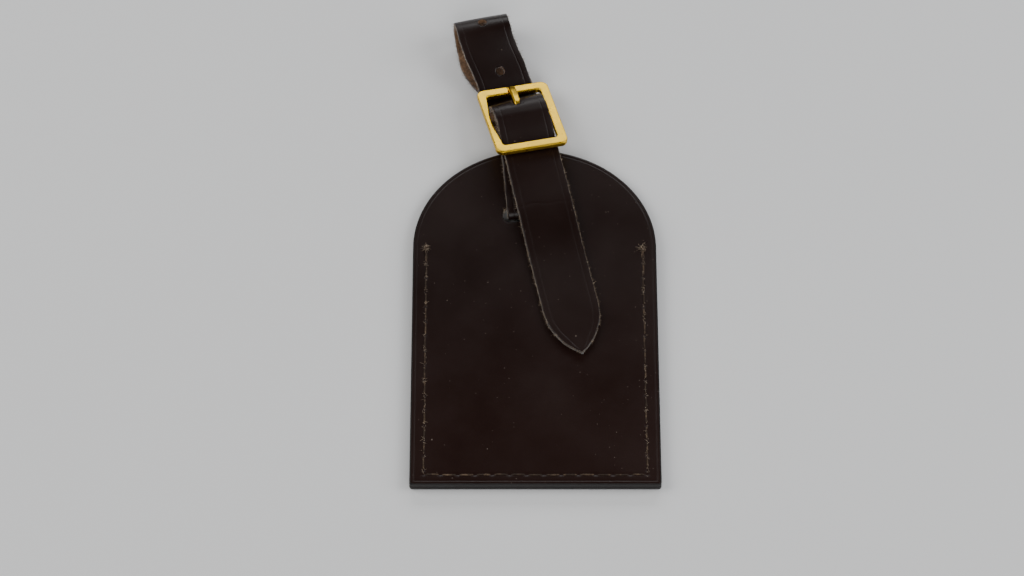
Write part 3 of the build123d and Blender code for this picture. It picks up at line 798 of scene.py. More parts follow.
def fibreTubes(roots, directions, lengths, rng, steps=6, sides=3):
    # short curved fibres: each a three-sided tube that leaves its root and curls as it goes
    n = len(roots)
    t = np.linspace(0, 1, steps)[None, :, None]
    curl = rng.normal(size=(n, 1, 3))
    curl /= np.linalg.norm(curl, axis=2, keepdims=True)
    second = rng.normal(size=(n, 1, 3)) * 0.35
    bent = directions[:, None] * t + curl * t ** 2 * 0.75 + second * t ** 3
    path = roots[:, None] + lengths[:, None, None] * bent
    a = np.linspace(0, 2 * math.pi, sides, endpoint=False)
    up = np.cross(directions, curl[:, 0])
    up /= np.linalg.norm(up, axis=1)[:, None] + 1e-12
    over = np.cross(directions, up)
    ring = up[:, None] * np.cos(a)[None, :, None] + over[:, None] * np.sin(a)[None, :, None]
    width = fray["radius"] * (1 - 0.6 * t)
    verts = path[:, :, None] + ring[:, None] * width[..., None]
    one = gridFaces(steps, sides, wrapCols=True)
    faces = (one[None] + (np.arange(n) * steps * sides)[:, None, None]).reshape(-1, 4).tolist()
    return verts.reshape(-1, 3), faces


fray = {"radius": 0.06 * mm, "atTack": 46, "alongRow": 150, "atSlot": 26, "clearance": 0.03 * mm}


def buildTackFuzz():
    # frayed thread ends at the two back-tacks, strays down each side row, and raw fibres at the
    # slot's left end
    rng = np.random.default_rng(7)
    roots, directions, lengths = [], [], []
    for name in ("seam_left", "seam_right"):
        row = holes[name]
        for _ in range(fray["atTack"]):
            spread = rng.normal(scale=(0.45 * mm, 0.7 * mm), size=2)
            y = row[-1][1] - 0.2 * mm + spread[1] * 0.8
            roots.append([row[-1][0] + spread[0], y, tagFace + 0.15 * mm])
            directions.append([rng.normal() * 0.9, rng.normal() * 0.9, abs(rng.normal()) * 0.5])
            lengths.append(rng.uniform(0.4, 1.1) * mm)
        for _ in range(fray["alongRow"]):
            y = rng.choice(row[:, 1]) + rng.normal() * 0.9 * mm
            roots.append([row[0][0] + rng.normal() * 0.22 * mm, y, tagFace + 0.12 * mm])
            directions.append([rng.normal(), rng.normal() * 0.8, abs(rng.normal()) * 0.4])
            lengths.append(rng.uniform(0.2, 0.6) * mm)
    for _ in range(fray["atSlot"]):
        roots.append([slotCentre[0] - tag["slotHalf"][0] + abs(rng.normal()) * 0.35 * mm,
                      slotCentre[1] + 1.0 * mm + rng.normal() * 0.5 * mm, tagFace - 0.1 * mm])
        directions.append([rng.normal() + 0.4, rng.normal(), 0.6])
        lengths.append(rng.uniform(0.3, 0.8) * mm)
    directions = np.array(directions)
    directions /= np.linalg.norm(directions, axis=1)[:, None]
    verts, faces = fibreTubes(np.array(roots), directions, np.array(lengths), rng)
    verts[:, 2] = np.maximum(verts[:, 2], tagFace + fray["clearance"])
    piece = makePiece("threadFray", verts, faces, [fuzzMaterial])
    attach(piece, "tag")


buildTackFuzz()

# The strap's route is a side view, of distances ahead of the buckle's bar and heights, laid on
# four plan lines: from the bar to the slot, behind the tag, back over the loop, and the free end
strap = {"width": 15.8 * mm, "thickness": 1.7 * mm, "wrapThickness": 1.1 * mm,
         "turnedThickness": 0.8 * mm, "gap": 0.15 * mm, "slotHeading": 6.0, "loopHeading": 12.5,
         "rearHeading": -4.0, "rearLoopHeading": 20.0, "barHeading": 15.4, "barShift": -0.02 * mm,
         "rearBows": ((1.3 * mm, 26.5 * mm, 5.5 * mm), (-1.1 * mm, 17 * mm, 5 * mm)),
         "frontBows": ((-0.7 * mm, 19 * mm, 6 * mm),), "loopTurn": 20.8, "loopReach": 32 * mm,
         "loopRadius": 5.15 * mm, "wrapRadius": 1.5 * mm, "overRadius": 3.15 * mm, "roll": 5.0,
         "rollReach": 19 * mm, "tailReach": 78.9 * mm, "edgeRound": 0.28 * mm, "creaseInset": 1.8 * mm,
         "creaseDepth": 0.055 * mm, "creaseWidth": 0.14 * mm, "ragged": 0.05 * mm, "cup": 0.10 * mm,
         "bulge": 0.10 * mm, "foldDepth": 0.05 * mm, "foldWidth": 0.28 * mm, "foldAhead": -29.5 * mm,
         "cutAhead": -11.6 * mm, "pointLength": 15 * mm, "prongHoleAhead": 4.3 * mm,
         "prongHoleHalf": (1.9 * mm, 1.2 * mm), "prongHoleShift": -0.5 * mm,
         "spareHolesAhead": (19.4 * mm, 33.3 * mm), "holeRadius": 1.3 * mm, "step": 0.55 * mm}
frameLength, endBar = 26 * mm, 2.9 * mm
rollLift = strap["width"] / 2 * math.sin(math.radians(strap["roll"]))
windowEdge = frameLength / 2 - endBar
barZ = barPoint[2]
tailTop = tailPoint[2]
barHeading = math.degrees(math.atan2(barAxis[1], barAxis[0]))
tailHeading = math.degrees(math.atan2(tailAxis[1], tailAxis[0]))
slotW = -float(np.hypot(*(barPoint[:2] - slotPoint[:2])))
tailW = -float(np.hypot(*(barPoint[:2] - tailPoint[:2])))
rearZ = strap["thickness"] / 2
faceZ = tagFace + strap["gap"] + strap["thickness"] / 2
turnedZ = tagFace + strap["gap"] + strap["turnedThickness"] / 2
fixedZ = turnedZ + strap["turnedThickness"] / 2 + strap["thickness"] / 2
overZ = tailTop - strap["thickness"] / 2
underZ = rearZ + strap["thickness"] + strap["gap"]


def forwardOf(heading):
    angle = np.radians(heading)
    return np.stack([-np.sin(angle), np.cos(angle)], -1)


def course(start, startHeading, startW, end, endHeading, endW):
    # a plan line from one place and heading to another: a cubic between them, and straight on
    # past both ends. It gives the place at a distance w.
    start, end = np.asarray(start[:2]), np.asarray(end[:2])
    length = endW - startW
    lead, trail = forwardOf(startHeading) * length, forwardOf(endHeading) * length

    def place(w):
        t = ((np.asarray(w) - startW) / length)[..., None]
        c = np.clip(t, 0, 1)
        point = ((2 * c**3 - 3 * c**2 + 1) * start + (c**3 - 2 * c**2 + c) * lead
                 + (3 * c**2 - 2 * c**3) * end + (c**3 - c**2) * trail)
        return point + np.minimum(t, 0) * lead + np.maximum(t - 1, 0) * trail

    return place


def bowed(line, bows):
    # a plan line with smooth sideways bows added, each a size to the left, a place and a span
    def place(w):
        bow = sum(size * np.exp(-((np.asarray(w) - at) / span) ** 2) for size, at, span in bows)
        return line(w) - np.stack([bow, 0 * bow], -1)

    return place


loopPoint = barPoint[:2] + forwardOf(strap["loopTurn"]) * strap["loopReach"]
strapBar = barPoint[:2] + np.array([strap["barShift"], 0])
loopW = strap["loopReach"]
fixedCourse = course(slotPoint, strap["slotHeading"], slotW, barPoint, barHeading, 0)
rearCourse = course(slotPoint, strap["rearHeading"], slotW, loopPoint, strap["rearLoopHeading"], loopW)
frontCourse = course(strapBar, strap["barHeading"], 0, loopPoint, strap["loopHeading"], loopW)
tailCourse = course(tailPoint, tailHeading, tailW, strapBar, strap["barHeading"], 0)
courses = [fixedCourse, bowed(rearCourse, strap["rearBows"]), bowed(frontCourse, strap["frontBows"]),
           tailCourse]
fixedRun, rearRun, frontRun, tailRun = range(len(courses))


def leg(run, thickness, places):
    # control points of one run of the strap, from its distances ahead (in mm) and its heights
    return [(ahead * mm, height, thickness, run) for ahead, height in places]


def arcRoute(run, cx, cz, radius, begin, finish, count, thickness):
    angle = np.radians(np.linspace(begin, finish, count))
    return [(cx + radius * math.cos(a), cz + radius * math.sin(a), thickness, run) for a in angle]


def passOver(point, centre, radius):
    # slope in degrees of a line from a point that passes over a circle and touches it
    run, rise = abs(centre[0] - point[0]), centre[1] - point[1]
    return math.degrees(math.atan2(rise, run) + math.asin(radius / math.hypot(run, rise)))


def strapRoute():
    # control points (distance ahead of the bar, height, thickness, plan line), from the
    # turned-back end round the bar, down the slot, behind the tag, round the loop, over the bar
    full, wrap, thin = strap["thickness"], strap["wrapThickness"], strap["turnedThickness"]
    bar = (0.0, barZ)
    fixedSlope = passOver((-8.1 * mm, fixedZ), bar, strap["wrapRadius"])
    overSlope = passOver((-windowEdge + 0.6 * mm, overZ), bar, strap["overRadius"])
    riseSpot = (frameLength / 2 + 0.6 * mm, underZ)
    loopZ = rearZ + strap["loopRadius"]
    riseSlope = passOver(riseSpot, (loopW, loopZ), strap["loopRadius"])
    rise = math.tan(math.radians(riseSlope))
    turnRadius = (faceZ - rearZ) / 2
    turn = (slotW + 1.5 * mm, rearZ + turnRadius, turnRadius * 1.04)
    # arcs stand out by a few per cent, because the curve through them cuts their corners
    wrapArc, overArc = strap["wrapRadius"] * 1.03, strap["overRadius"] * 1.03
    points = leg(fixedRun, thin, [(-17.5, turnedZ), (-14, turnedZ), (-10, turnedZ),
                                  (-6.8, turnedZ + 0.05 * mm), (-3.5, turnedZ + 0.75 * mm)])
    points += arcRoute(fixedRun, *bar, wrapArc, -77, 90 + fixedSlope, 9, wrap)
    points += leg(fixedRun, 1.3 * mm, [(-3.5, barZ + 0.02 * mm)])
    points += leg(fixedRun, full, [(-6.0, fixedZ + 0.8 * mm), (-8.4, fixedZ + 0.1 * mm), (-12, fixedZ),
                                   (-16, fixedZ), (-18.5, (fixedZ + faceZ) / 2), (-21, faceZ),
                                   (-25, faceZ)])
    points += arcRoute(fixedRun, *turn, 90, 180, 4, full)
    points += arcRoute(rearRun, *turn, 180, 270, 4, full)[1:]
    points += leg(rearRun, full, [(ahead, rearZ) for ahead in (-25, -18, -8, 2, 12, 20, 25)])
    points += arcRoute(frontRun, loopW, loopZ, strap["loopRadius"] * 1.01, -90, 90 + riseSlope, 12, full)
    points += leg(frontRun, full, [(ahead, underZ + (ahead * mm - riseSpot[0]) * rise)
                                   for ahead in (24.0, 20.5, 17.0)])
    points += leg(frontRun, full, [(14.2, underZ + 0.2 * mm), (12, underZ), (10.4, underZ),
                                   (8.7, underZ + 0.15 * mm), (7.3, underZ + 1.8 * mm),
                                   (6.1, underZ + 4.3 * mm), (4.5, underZ + 6.2 * mm),
                                   (2.6, barZ + strap["overRadius"] + 0.05 * mm)])
    points += arcRoute(frontRun, *bar, overArc, 80, 90, 2, full)
    points += arcRoute(tailRun, *bar, overArc, 90, 90 + overSlope, 3, full)[1:]
    points += leg(tailRun, full, [(-4.6, overZ + 1.8 * mm), (-7.4, overZ + 0.45 * mm)])
    return points


def tailRoute():
    # the free end: level past its bend, then down onto the tag's face
    full, lying = strap["thickness"], faceZ
    points = leg(tailRun, full, [(-9.6, overZ + 0.02 * mm), (-11.8, overZ)])
    points.append((tailW, overZ, full, tailRun))
    points += leg(tailRun, full, [(-17, overZ - 0.05 * mm), (-22, overZ - 0.25 * mm),
                                  (-27, overZ - 0.45 * mm), (-30.8, overZ - 0.65 * mm),
                                  (-34.5, lying + 1.25 * mm), (-39.5, lying + 0.5 * mm),
                                  (-46, lying + 0.05 * mm), (-56, lying), (-68, lying)])
    points.append((-strap["tailReach"], lying, full, tailRun))
    return points


def rollShare(w):
    # how much of the buckle's sideways tilt the strap takes at a distance from the bar
    return np.exp(-(np.abs(w) / strap["rollReach"]) ** 6)


def splineThrough(points):
    # a cubic B-spline on the control points, sampled by its own length. It returns arrays that
    # give the strap's middle, its across and normal directions and its thickness at a length.
    control = np.array([(w, z, t, *(np.arange(4) == run)) for w, z, t, run in points], float)
    first, last = control[:1], control[-1:]
    control = np.concatenate([first, first, control, last, last])
    t = np.linspace(0, 1, 24, endpoint=False)[:, None]
    basis = np.stack([(1 - t) ** 3, 3 * t**3 - 6 * t**2 + 4, -3 * t**3 + 3 * t**2 + 3 * t + 1, t**3], 0) / 6
    fine = np.concatenate([sum(basis[j] * control[k + j] for j in range(4)) for k in range(len(control) - 3)])
    w, z, thickness, weights = fine[:, 0], fine[:, 1], fine[:, 2], fine[:, 3:]
    places = sum(weights[:, k:k + 1] * courses[k](w) for k in range(4))
    ahead = sum(weights[:, k:k + 1] * (courses[k](w + 1e-5) - courses[k](w - 1e-5)) for k in range(4))
    ahead /= np.linalg.norm(ahead, axis=1)[:, None]
    slope = np.arctan2(np.gradient(z), np.gradient(w))
    # the left side is raised round the buckle, with the right side kept at its own height
    share = rollShare(w) * (1 - weights[:, rearRun])
    tilt = (np.radians(strap["roll"]) * share)[:, None]
    middle = np.column_stack([places, z + rollLift * share])
    level = np.column_stack([ahead[:, 1], -ahead[:, 0], np.zeros(len(w))])
    upward = np.array([0.0, 0.0, 1.0])
    across = level * np.cos(tilt) - upward * np.sin(tilt)
    normal = np.column_stack([-np.sin(slope)[:, None] * ahead, np.zeros(len(w))])
    normal = normal + np.cos(slope)[:, None] * (upward * np.cos(tilt) + level * np.sin(tilt))
    length = np.concatenate([[0], np.cumsum(np.linalg.norm(np.diff(middle, axis=0), axis=1))])
    keep = np.concatenate([[True], np.diff(length) > 1e-9])
    table = np.column_stack([middle, across, normal, thickness, w])[keep]
    return length[keep], table


def along(route, s):
    # the strap's middle, across, normal, thickness and distance ahead at the lengths s
    length, table = route
    flat = np.asarray(s).ravel()
    columns = np.stack([np.interp(flat, length, table[:, k]) for k in range(table.shape[1])], -1)
    columns = columns.reshape(*np.shape(s), table.shape[1])
    return columns[..., 0:3], columns[..., 3:6], columns[..., 6:9], columns[..., 9], columns[..., 10]


def sweepRows(route, holeSpots, step):
    # lengths of the cross-sections: closer where the strap bends, and even near each hole
    length, table = route
    bend = np.linalg.norm(np.gradient(table[:, 6:9], axis=0), axis=1) / (np.gradient(length) + 1e-12)
    density = np.maximum(1 / step, bend / 0.16)
    for spot in holeSpots:
        density = np.where(np.abs(length - spot) < 3 * mm, np.maximum(density, 1 / (0.3 * mm)), density)
    total = np.concatenate([[0], np.cumsum(np.diff(length) * (density[1:] + density[:-1]) / 2)])
    return np.interp(np.linspace(0, total[-1], int(total[-1]) + 2), total, length)


def strapColumns():
    # places across the strap: close together at the edges and creases, even in the middle
    half = strap["width"] / mm / 2
    edge = np.array([0, 0.06, 0.16, 0.3, 0.6, 1.1, 1.45, 1.62, 1.72, 1.8, 1.88, 1.98, 2.15, 2.6, 3.3, 4.0])
    middle = np.arange(-3.5, 3.51, 0.5)
    return np.concatenate([-(half - edge), middle, (half - edge)[::-1]]) * mm


def sweepStrap(name, route, rows, holeList, halfAt=None, seed=3, bendAt=None):
    # the strap as two skins on one grid of length by width: grain and flesh, joined at the
    # sides and ends, with round or long holes punched through both
    half = strap["width"] / 2
    s, x = np.meshgrid(rows, strapColumns(), indexing="ij")
    fromEdge = half - np.abs(x)
    if halfAt is not None:
        width = halfAt(s)
        keep = np.clip(width / (4.5 * mm), 0, 1)
        outer = np.minimum(fromEdge, 2.6 * mm) * keep
        inner = np.clip((half - fromEdge) / (half - 2.6 * mm), 0, 1)
        x = np.sign(x) * np.where(fromEdge <= 2.6 * mm, width - outer, (width - 2.6 * mm * keep) * inner)
        fromEdge = np.where(fromEdge <= 2.6 * mm, outer / np.maximum(keep, 0.3), fromEdge)
    rowCount, colCount = s.shape
    removed = np.zeros((rowCount - 1, colCount - 1), bool)
    rims = []
    for spot, acrossAt, radiusAlong, radiusAcross in holeList:
        i = np.abs(rows - spot).argmin()
        j = np.abs(strapColumns() - acrossAt).argmin()
        reach = 2
        block = (slice(i - reach, i + reach), slice(j - reach, j + reach))
        removed[block] = True
        spread = 5
        near = (slice(i - spread, i + spread + 1), slice(j - spread, j + spread + 1))
        ds, dx = s[near] - s[i, j], x[near] - x[i, j]
        gi, gj = np.meshgrid(np.arange(-spread, spread + 1), np.arange(-spread, spread + 1), indexing="ij")
        ringNumber = np.maximum(np.abs(gi), np.abs(gj))
        angle = np.arctan2(gj * 1.0, gi * 1.0)
        grow = 1 + (ringNumber - reach) * 0.34
        roundS, roundX = np.cos(angle) * radiusAlong * grow, np.sin(angle) * radiusAcross * grow
        mix = np.clip((ringNumber - reach) / (spread - reach), 0, 1) ** 1.2
        s[near] = s[i, j] + roundS * (1 - mix) + ds * mix
        x[near] = x[i, j] + roundX * (1 - mix) + dx * mix
        ring = ([(i - reach, j + k) for k in range(-reach, reach)]
                + [(i + k, j + reach) for k in range(-reach, reach)]
                + [(i + reach, j - k) for k in range(-reach, reach)]
                + [(i - k, j - reach) for k in range(-reach, reach)])
        rims.append([a * colCount + b for a, b in ring])
    middle, across, normal, thickness = along(route, s)[:4]
    drop = strap["edgeRound"]
    rounding = drop - np.sqrt(np.maximum(drop**2 - np.clip(drop - fromEdge, 0, drop) ** 2, 0))
    crease = strap["creaseDepth"] * np.exp(-((fromEdge - strap["creaseInset"]) / strap["creaseWidth"]) ** 2)
    rng = np.random.default_rng(seed)
    phase = rng.uniform(0, 6.28, 4)
    ragged = np.sin(s / (0.9 * mm) + phase[0]) + np.sin(s / (0.37 * mm) + phase[1]) * 0.7
    ragged = strap["ragged"] * ragged
    ragged = ragged * np.exp(-(fromEdge / (0.4 * mm)) ** 2) * np.sign(x)
    cup = strap["cup"] * (x / half) ** 2
    skin = thickness / 2 - rounding - crease - cup
    if bendAt is not None:
        # a worn line across the strap where it has been folded
        wander = 0.5 * mm * np.sin(x / (3.3 * mm)) + 0.2 * mm * np.sin(x / (1.1 * mm) + 1)
        skin = skin - strap["foldDepth"] * np.exp(-((s - bendAt - wander) / strap["foldWidth"]) ** 2)
    grain = middle + across * (x + ragged)[..., None] - normal * skin[..., None]
    flesh = middle + across * (x + ragged)[..., None] + normal * (thickness / 2 - rounding * 0.6)[..., None]
    count = rowCount * colCount
    cells = gridFaces(rowCount, colCount)[~removed.ravel()]
    grainFaces, fleshFaces = cells, cells[:, ::-1] + count
    verts = [grain.reshape(-1, 3), flesh.reshape(-1, 3)]
    faces = grainFaces.tolist() + fleshFaces.tolist()
    slots = [0] * len(grainFaces) + [1] * len(fleshFaces)
    # raw sides: three more rows of points between the skins, bulging a little
    base = 2 * count
    for column in (0, colCount - 1):
        sideRows = []
        for share in (0.25, 0.5, 0.75):
            bulge = strap["bulge"] * math.sin(math.pi * share) * np.sign(x[:, column])[:, None]
            flat = grain[:, column] * (1 - share) + flesh[:, column] * share
            sideRows.append(flat + across[:, column] * bulge)
        verts += sideRows
        ids = [np.arange(rowCount) * colCount + column]
        ids += [base + np.arange(rowCount) + k * rowCount for k in range(len(sideRows))]
        ids.append(ids[0] + count)
        base += len(sideRows) * rowCount
        for a, b in zip(ids[:-1], ids[1:]):
            strip = np.stack([a[:-1], a[1:], b[1:], b[:-1]], -1)
            strip = strip if column else strip[:, ::-1]
            faces += strip.tolist()
            slots += [2] * len(strip)
        # the ends are closed below, with the same side rows
        if column == 0:
            leftIds = ids
        else:
            rightIds = ids
    for row in (0, rowCount - 1):
        edge = row * colCount + np.arange(colCount)
        left, right = ([column[row] for column in ids[1:-1]] for ids in (leftIds, rightIds))
        cap = np.concatenate([edge, right, edge[::-1] + count, left[::-1]]).tolist()
        faces.append(cap[::-1] if row == 0 else cap)
        slots.append(2)
    for rim in rims:
        for a, b in zip(rim, rim[1:] + rim[:1]):
            faces.append([a, b, b + count, a + count])
            slots.append(1)
    allVerts = np.concatenate([v.reshape(-1, 3) for v in verts])
    piece = makePiece(name, allVerts, faces, [strapGrain, fleshSide, rawEdge], slots)
    fixNormals(piece)
    return piece


def lengthAt(route, ahead, after=0.0):
    # the length along a route at which it is a given distance ahead of the bar
    length, table = route
    usable = np.where(length >= after, np.abs(table[:, 10] - ahead), 9)
    return length[usable.argmin()]


mainRoute = splineThrough(strapRoute() + tailRoute()[:2])
tailLine = splineThrough(strapRoute()[-2:] + tailRoute())
loopTop = mainRoute[0][mainRoute[1][:, 10].argmax()]
prongHole = lengthAt(mainRoute, strap["prongHoleAhead"], loopTop)
spareHoles = [lengthAt(mainRoute, ahead, loopTop) for ahead in strap["spareHolesAhead"]]
mainEnd = lengthAt(mainRoute, strap["cutAhead"], loopTop)
mainRows = sweepRows(mainRoute, [prongHole] + spareHoles, strap["step"])
mainRows = np.append(mainRows[mainRows < mainEnd - 0.1 * mm], mainEnd)
mainHoles = [(prongHole, strap["prongHoleShift"], *strap["prongHoleHalf"])]
mainHoles += [(spot, 0.0, strap["holeRadius"], strap["holeRadius"]) for spot in spareHoles]
strapLeather = sweepStrap("strapLeather", mainRoute, mainRows, mainHoles)
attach(strapLeather, "strap_body")
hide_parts("strap")

tailStart = lengthAt(tailLine, strap["cutAhead"])
tailTip = tailLine[0][-1]
pointRadius = (strap["pointLength"] ** 2 + (strap["width"] / 2) ** 2) / strap["width"]


def tailHalf(s):
    # half the tail's width: full, then an arc on each side that meets the other at the tip
    half = strap["width"] / 2
    into = np.clip(s - (tailTip - strap["pointLength"]), 0, strap["pointLength"] - 0.12 * mm)
    return np.maximum(half - pointRadius + np.sqrt(pointRadius**2 - into**2), 0.3 * mm)


foldMark = lengthAt(tailLine, strap["foldAhead"])
tailRows = sweepRows(tailLine, [foldMark], strap["step"])
tailRows = np.concatenate([[tailStart], tailRows[tailRows > tailStart + 0.1 * mm]])
tipRows = tailTip - strap["pointLength"] * (1 - np.linspace(0, 1, 44) ** 0.6)
tailRows = np.concatenate([tailRows[tailRows < tipRows[0] - 0.1 * mm], tipRows])
tailLeather = sweepStrap("tailLeather", tailLine, tailRows, [], tailHalf, seed=5, bendAt=foldMark)
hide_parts("strap_tail")
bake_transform(tailLeather)
print("strap", len(strapLeather.data.polygons), len(tailLeather.data.polygons))


turnedEnd = {"rows": (-15.0 * mm, -11.0 * mm), "stitches": 3, "margin": 2.5 * mm, "sink": 0.1 * mm}


def buildTurnedStitches():
    # two short rows across the strap, hidden under its free end, that hold the turned-back end
    stitches = []
    count, half = turnedEnd["stitches"], strap["width"] / 2 - turnedEnd["margin"]
    top = fixedZ + strap["thickness"] / 2
    for number, w in enumerate(turnedEnd["rows"]):
        place = fixedCourse(np.array([w]))[0]
        ahead = fixedCourse(np.array([w + 1e-4]))[0] - place
        ahead = ahead / np.linalg.norm(ahead)
        side = np.array([ahead[1], -ahead[0]])
        spots = [place + side * (half * (2 * k / count - 1)) for k in range(count + 1)]
        for k in range(count):
            x = half * (2 * (k + 0.5) / count - 1)
            raised = float(rollShare(w)) * (rollLift - x * math.sin(math.radians(strap["roll"])))
            height = top + raised - turnedEnd["sink"]
            stitches.append(stitchTube(spots[k], spots[k + 1], height, 1, 90 + number * 10 + k))
    piece = sewnPiece("turnedEndThread", stitches)
    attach(piece, "strap_body")
    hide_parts("turned_end_stitches")


buildTurnedStitches()


brass = {"width": 21.5 * mm, "length": frameLength, "thickness": 1.6 * mm, "corner": 2.2 * mm,
         "windowMid": (9.15 * mm, 8.25 * mm), "windowEnd": 8.3 * mm, "windowCorner": 0.9 * mm,
         "rightInset": 0.25 * mm, "cornerSteps": 12, "sideSteps": 60, "bevel": 0.36 * mm,
         "crown": 0.02 * mm, "wave": 0.03 * mm, "pitch": 10.5, "barRadius": 0.8 * mm,
         "barDrop": 0.5 * mm, "barSteps": 40, "barAround": 28, "barRoot": 0.7 * mm,
         "notchWidth": 2.0 * mm, "notchDepth": 0.25 * mm, "notchShift": -0.2 * mm,
         "notchEase": 0.5 * mm}
rollAngle, pitchAngle = math.radians(strap["roll"]), math.radians(brass["pitch"])
levelAcross = np.array([math.cos(math.radians(barHeading)), math.sin(math.radians(barHeading)), 0])
barAhead = np.array([-levelAcross[1], levelAcross[0], 0])
buckleAcross = levelAcross * math.cos(rollAngle) - np.array([0, 0, math.sin(rollAngle)])
barUp = levelAcross * math.sin(rollAngle) + np.array([0, 0, math.cos(rollAngle)])
buckleAhead = barAhead * math.cos(pitchAngle) - barUp * math.sin(pitchAngle)
buckleUp = np.cross(buckleAcross, buckleAhead)
barCentre = barPoint + np.array([0, 0, rollLift])
frameCentre = barCentre + barUp * brass["barDrop"]


def barrelHalf(y, side):
    # the window's half width at a distance ahead of the bar: bowed out by the bar
    share = np.abs(y) / windowEdge
    bow = brass["windowMid"][0] if side < 0 else brass["windowMid"][1]
    return brass["windowEnd"] + (bow - brass["windowEnd"]) * np.cos(share * math.pi / 2) ** 1.2


def frameLoops():
    # the window's outline and the frame's outside, matched point for point: four corner arcs,
    # each followed by an end or a side, and the window's sides are bowed out by the bar
    wx, wy, ox, oy = brass["windowEnd"], windowEdge, brass["width"] / 2, brass["length"] / 2
    innerRound, outerRound = brass["windowCorner"], brass["corner"]
    turn = np.linspace(0, math.pi / 2, brass["cornerSteps"])
    share = 1 - 2 * np.arange(1, brass["sideSteps"]) / brass["sideSteps"]
    inner, outer = [], []
    for sx, sy, first in ((1, 1, 0), (-1, 1, math.pi / 2), (-1, -1, math.pi), (1, -1, 1.5 * math.pi)):
        arc = np.stack([np.cos(first + turn), np.sin(first + turn)], -1)
        inner.append([sx * (wx - innerRound), sy * (wy - innerRound)] + arc * innerRound)
        outer.append([sx * (ox - outerRound), sy * (oy - outerRound)] + arc * outerRound)
        if first in (0, math.pi):
            inner.append(np.stack([sx * (wx - innerRound) * share, sy * wy + 0 * share], -1))
            outer.append(np.stack([sx * (ox - outerRound) * share, sy * oy + 0 * share], -1))
        else:
            y = sy * (wy - innerRound) * share
            half = barrelHalf(y * wy / (wy - innerRound), sx)
            inner.append(np.stack([sx * half, y], -1))
            outer.append(np.stack([sx * ox + 0 * share, sy * (oy - outerRound) * share], -1))
    inner = np.concatenate(inner)
    # the right side stands closer to the strap than the left one
    inner[:, 0] -= brass["rightInset"] * np.clip(inner[:, 0] / wx, 0, 1)
    return inner, np.concatenate(outer)


def buildFrame():
    # a rounded section carried round between the window's outline and the outside, then the bar
    inner, outer = frameLoops()
    span = outer - inner
    width = np.linalg.norm(span, axis=1)
    direction = span / width[:, None]
    half, bevel = brass["thickness"] / 2, brass["bevel"]
    quarter = np.linspace(0, math.pi / 2, 7)
    section = [("in", bevel * (1 - math.cos(a)), half - bevel * (1 - math.sin(a))) for a in quarter]
    section += [("mid", share, half + brass["crown"]) for share in np.linspace(0.08, 0.92, 8)]
    section += [("out", bevel * (1 - math.sin(a)), half - bevel * (1 - math.cos(a))) for a in quarter]
    lower = [(kind, value, -height) for kind, value, height in section][::-1]
    rings = []
    for kind, value, height in section + lower:
        if kind == "in":
            flat = inner + direction * value
        elif kind == "out":
            flat = outer - direction * value
        else:
            flat = inner + span * (bevel / width + (1 - 2 * bevel / width) * value)[:, None]
        rings.append(np.column_stack([flat, np.full(len(flat), height)]))
    local = np.stack(rings)
    # the notch for the prong's tip, a smooth dip across the far end bar's upper face
    x, y, z = local[..., 0], local[..., 1], local[..., 2]
    ease = brass["notchEase"]
    inside = brass["notchWidth"] / 2 + ease / 2 - np.abs(x - brass["notchShift"])
    dip = brass["notchDepth"] * np.clip(inside / ease, 0, 1)
    z = np.where((y > windowEdge - 1 * mm) & (z > 0), z - dip * np.clip(z / half, 0, 1), z)
    rng = np.random.default_rng(11)
    wave = brass["wave"] * np.sin(x / (3.1 * mm) + rng.uniform(0, 6))
    wave = wave * np.sin(y / (4.3 * mm) + rng.uniform(0, 6))
    z = z + np.where(z > half * 0.9, wave, 0)
    world = frameCentre + x[..., None] * buckleAcross + y[..., None] * buckleAhead + z[..., None] * buckleUp
    rows, cols = world.shape[:2]
    faces = gridFaces(rows, cols, wrapRows=True, wrapCols=True).tolist()
    # the round bar across the middle, run a little way into each side
    reach = brass["windowMid"][0] + brass["barRoot"]
    t = np.linspace(-1, 1, brass["barSteps"])[:, None]
    a = np.linspace(0, 2 * math.pi, brass["barAround"], endpoint=False)[None]
    ring = np.cos(a)[..., None] * barAhead + np.sin(a)[..., None] * barUp
    bar = barCentre + t[..., None] * reach * buckleAcross + ring * brass["barRadius"]
    barFaces = capTube(brass["barSteps"], brass["barAround"], rows * cols)
    slots = [0] * len(faces) + [1] * len(barFaces)
    verts = np.concatenate([world.reshape(-1, 3), bar.reshape(-1, 3)])
    piece = makePiece("buckleFrame", verts, faces + barFaces, [goldMaterial, barMaterial], slots)
    fixNormals(piece)
    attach(piece, "buckle")
    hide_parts("buckle_frame")


prong = {"rise": 2.3 * mm, "thickness": 1.4 * mm, "width": 2.0 * mm, "tipInset": 1.0 * mm,
         "tipGap": 0.12 * mm, "lean": -0.45 * mm, "leanGrowth": 0.03, "leanFrom": 4.3 * mm,
         "ridge": 0.10 * mm, "ridgeAt": -0.45, "ridgeWidth": 0.28, "squareness": 3.6, "steps": 70,
         "around": 32, "eyeInside": 0.13 * mm, "eyeOutside": 0.85 * mm, "eyeSteps": 48}


def onBar(across, ahead, up):
    # a place given by its distances across, ahead of and above the bar's middle
    return (barCentre + np.asarray(across)[..., None] * buckleAcross
            + np.asarray(ahead)[..., None] * barAhead + np.asarray(up)[..., None] * barUp)


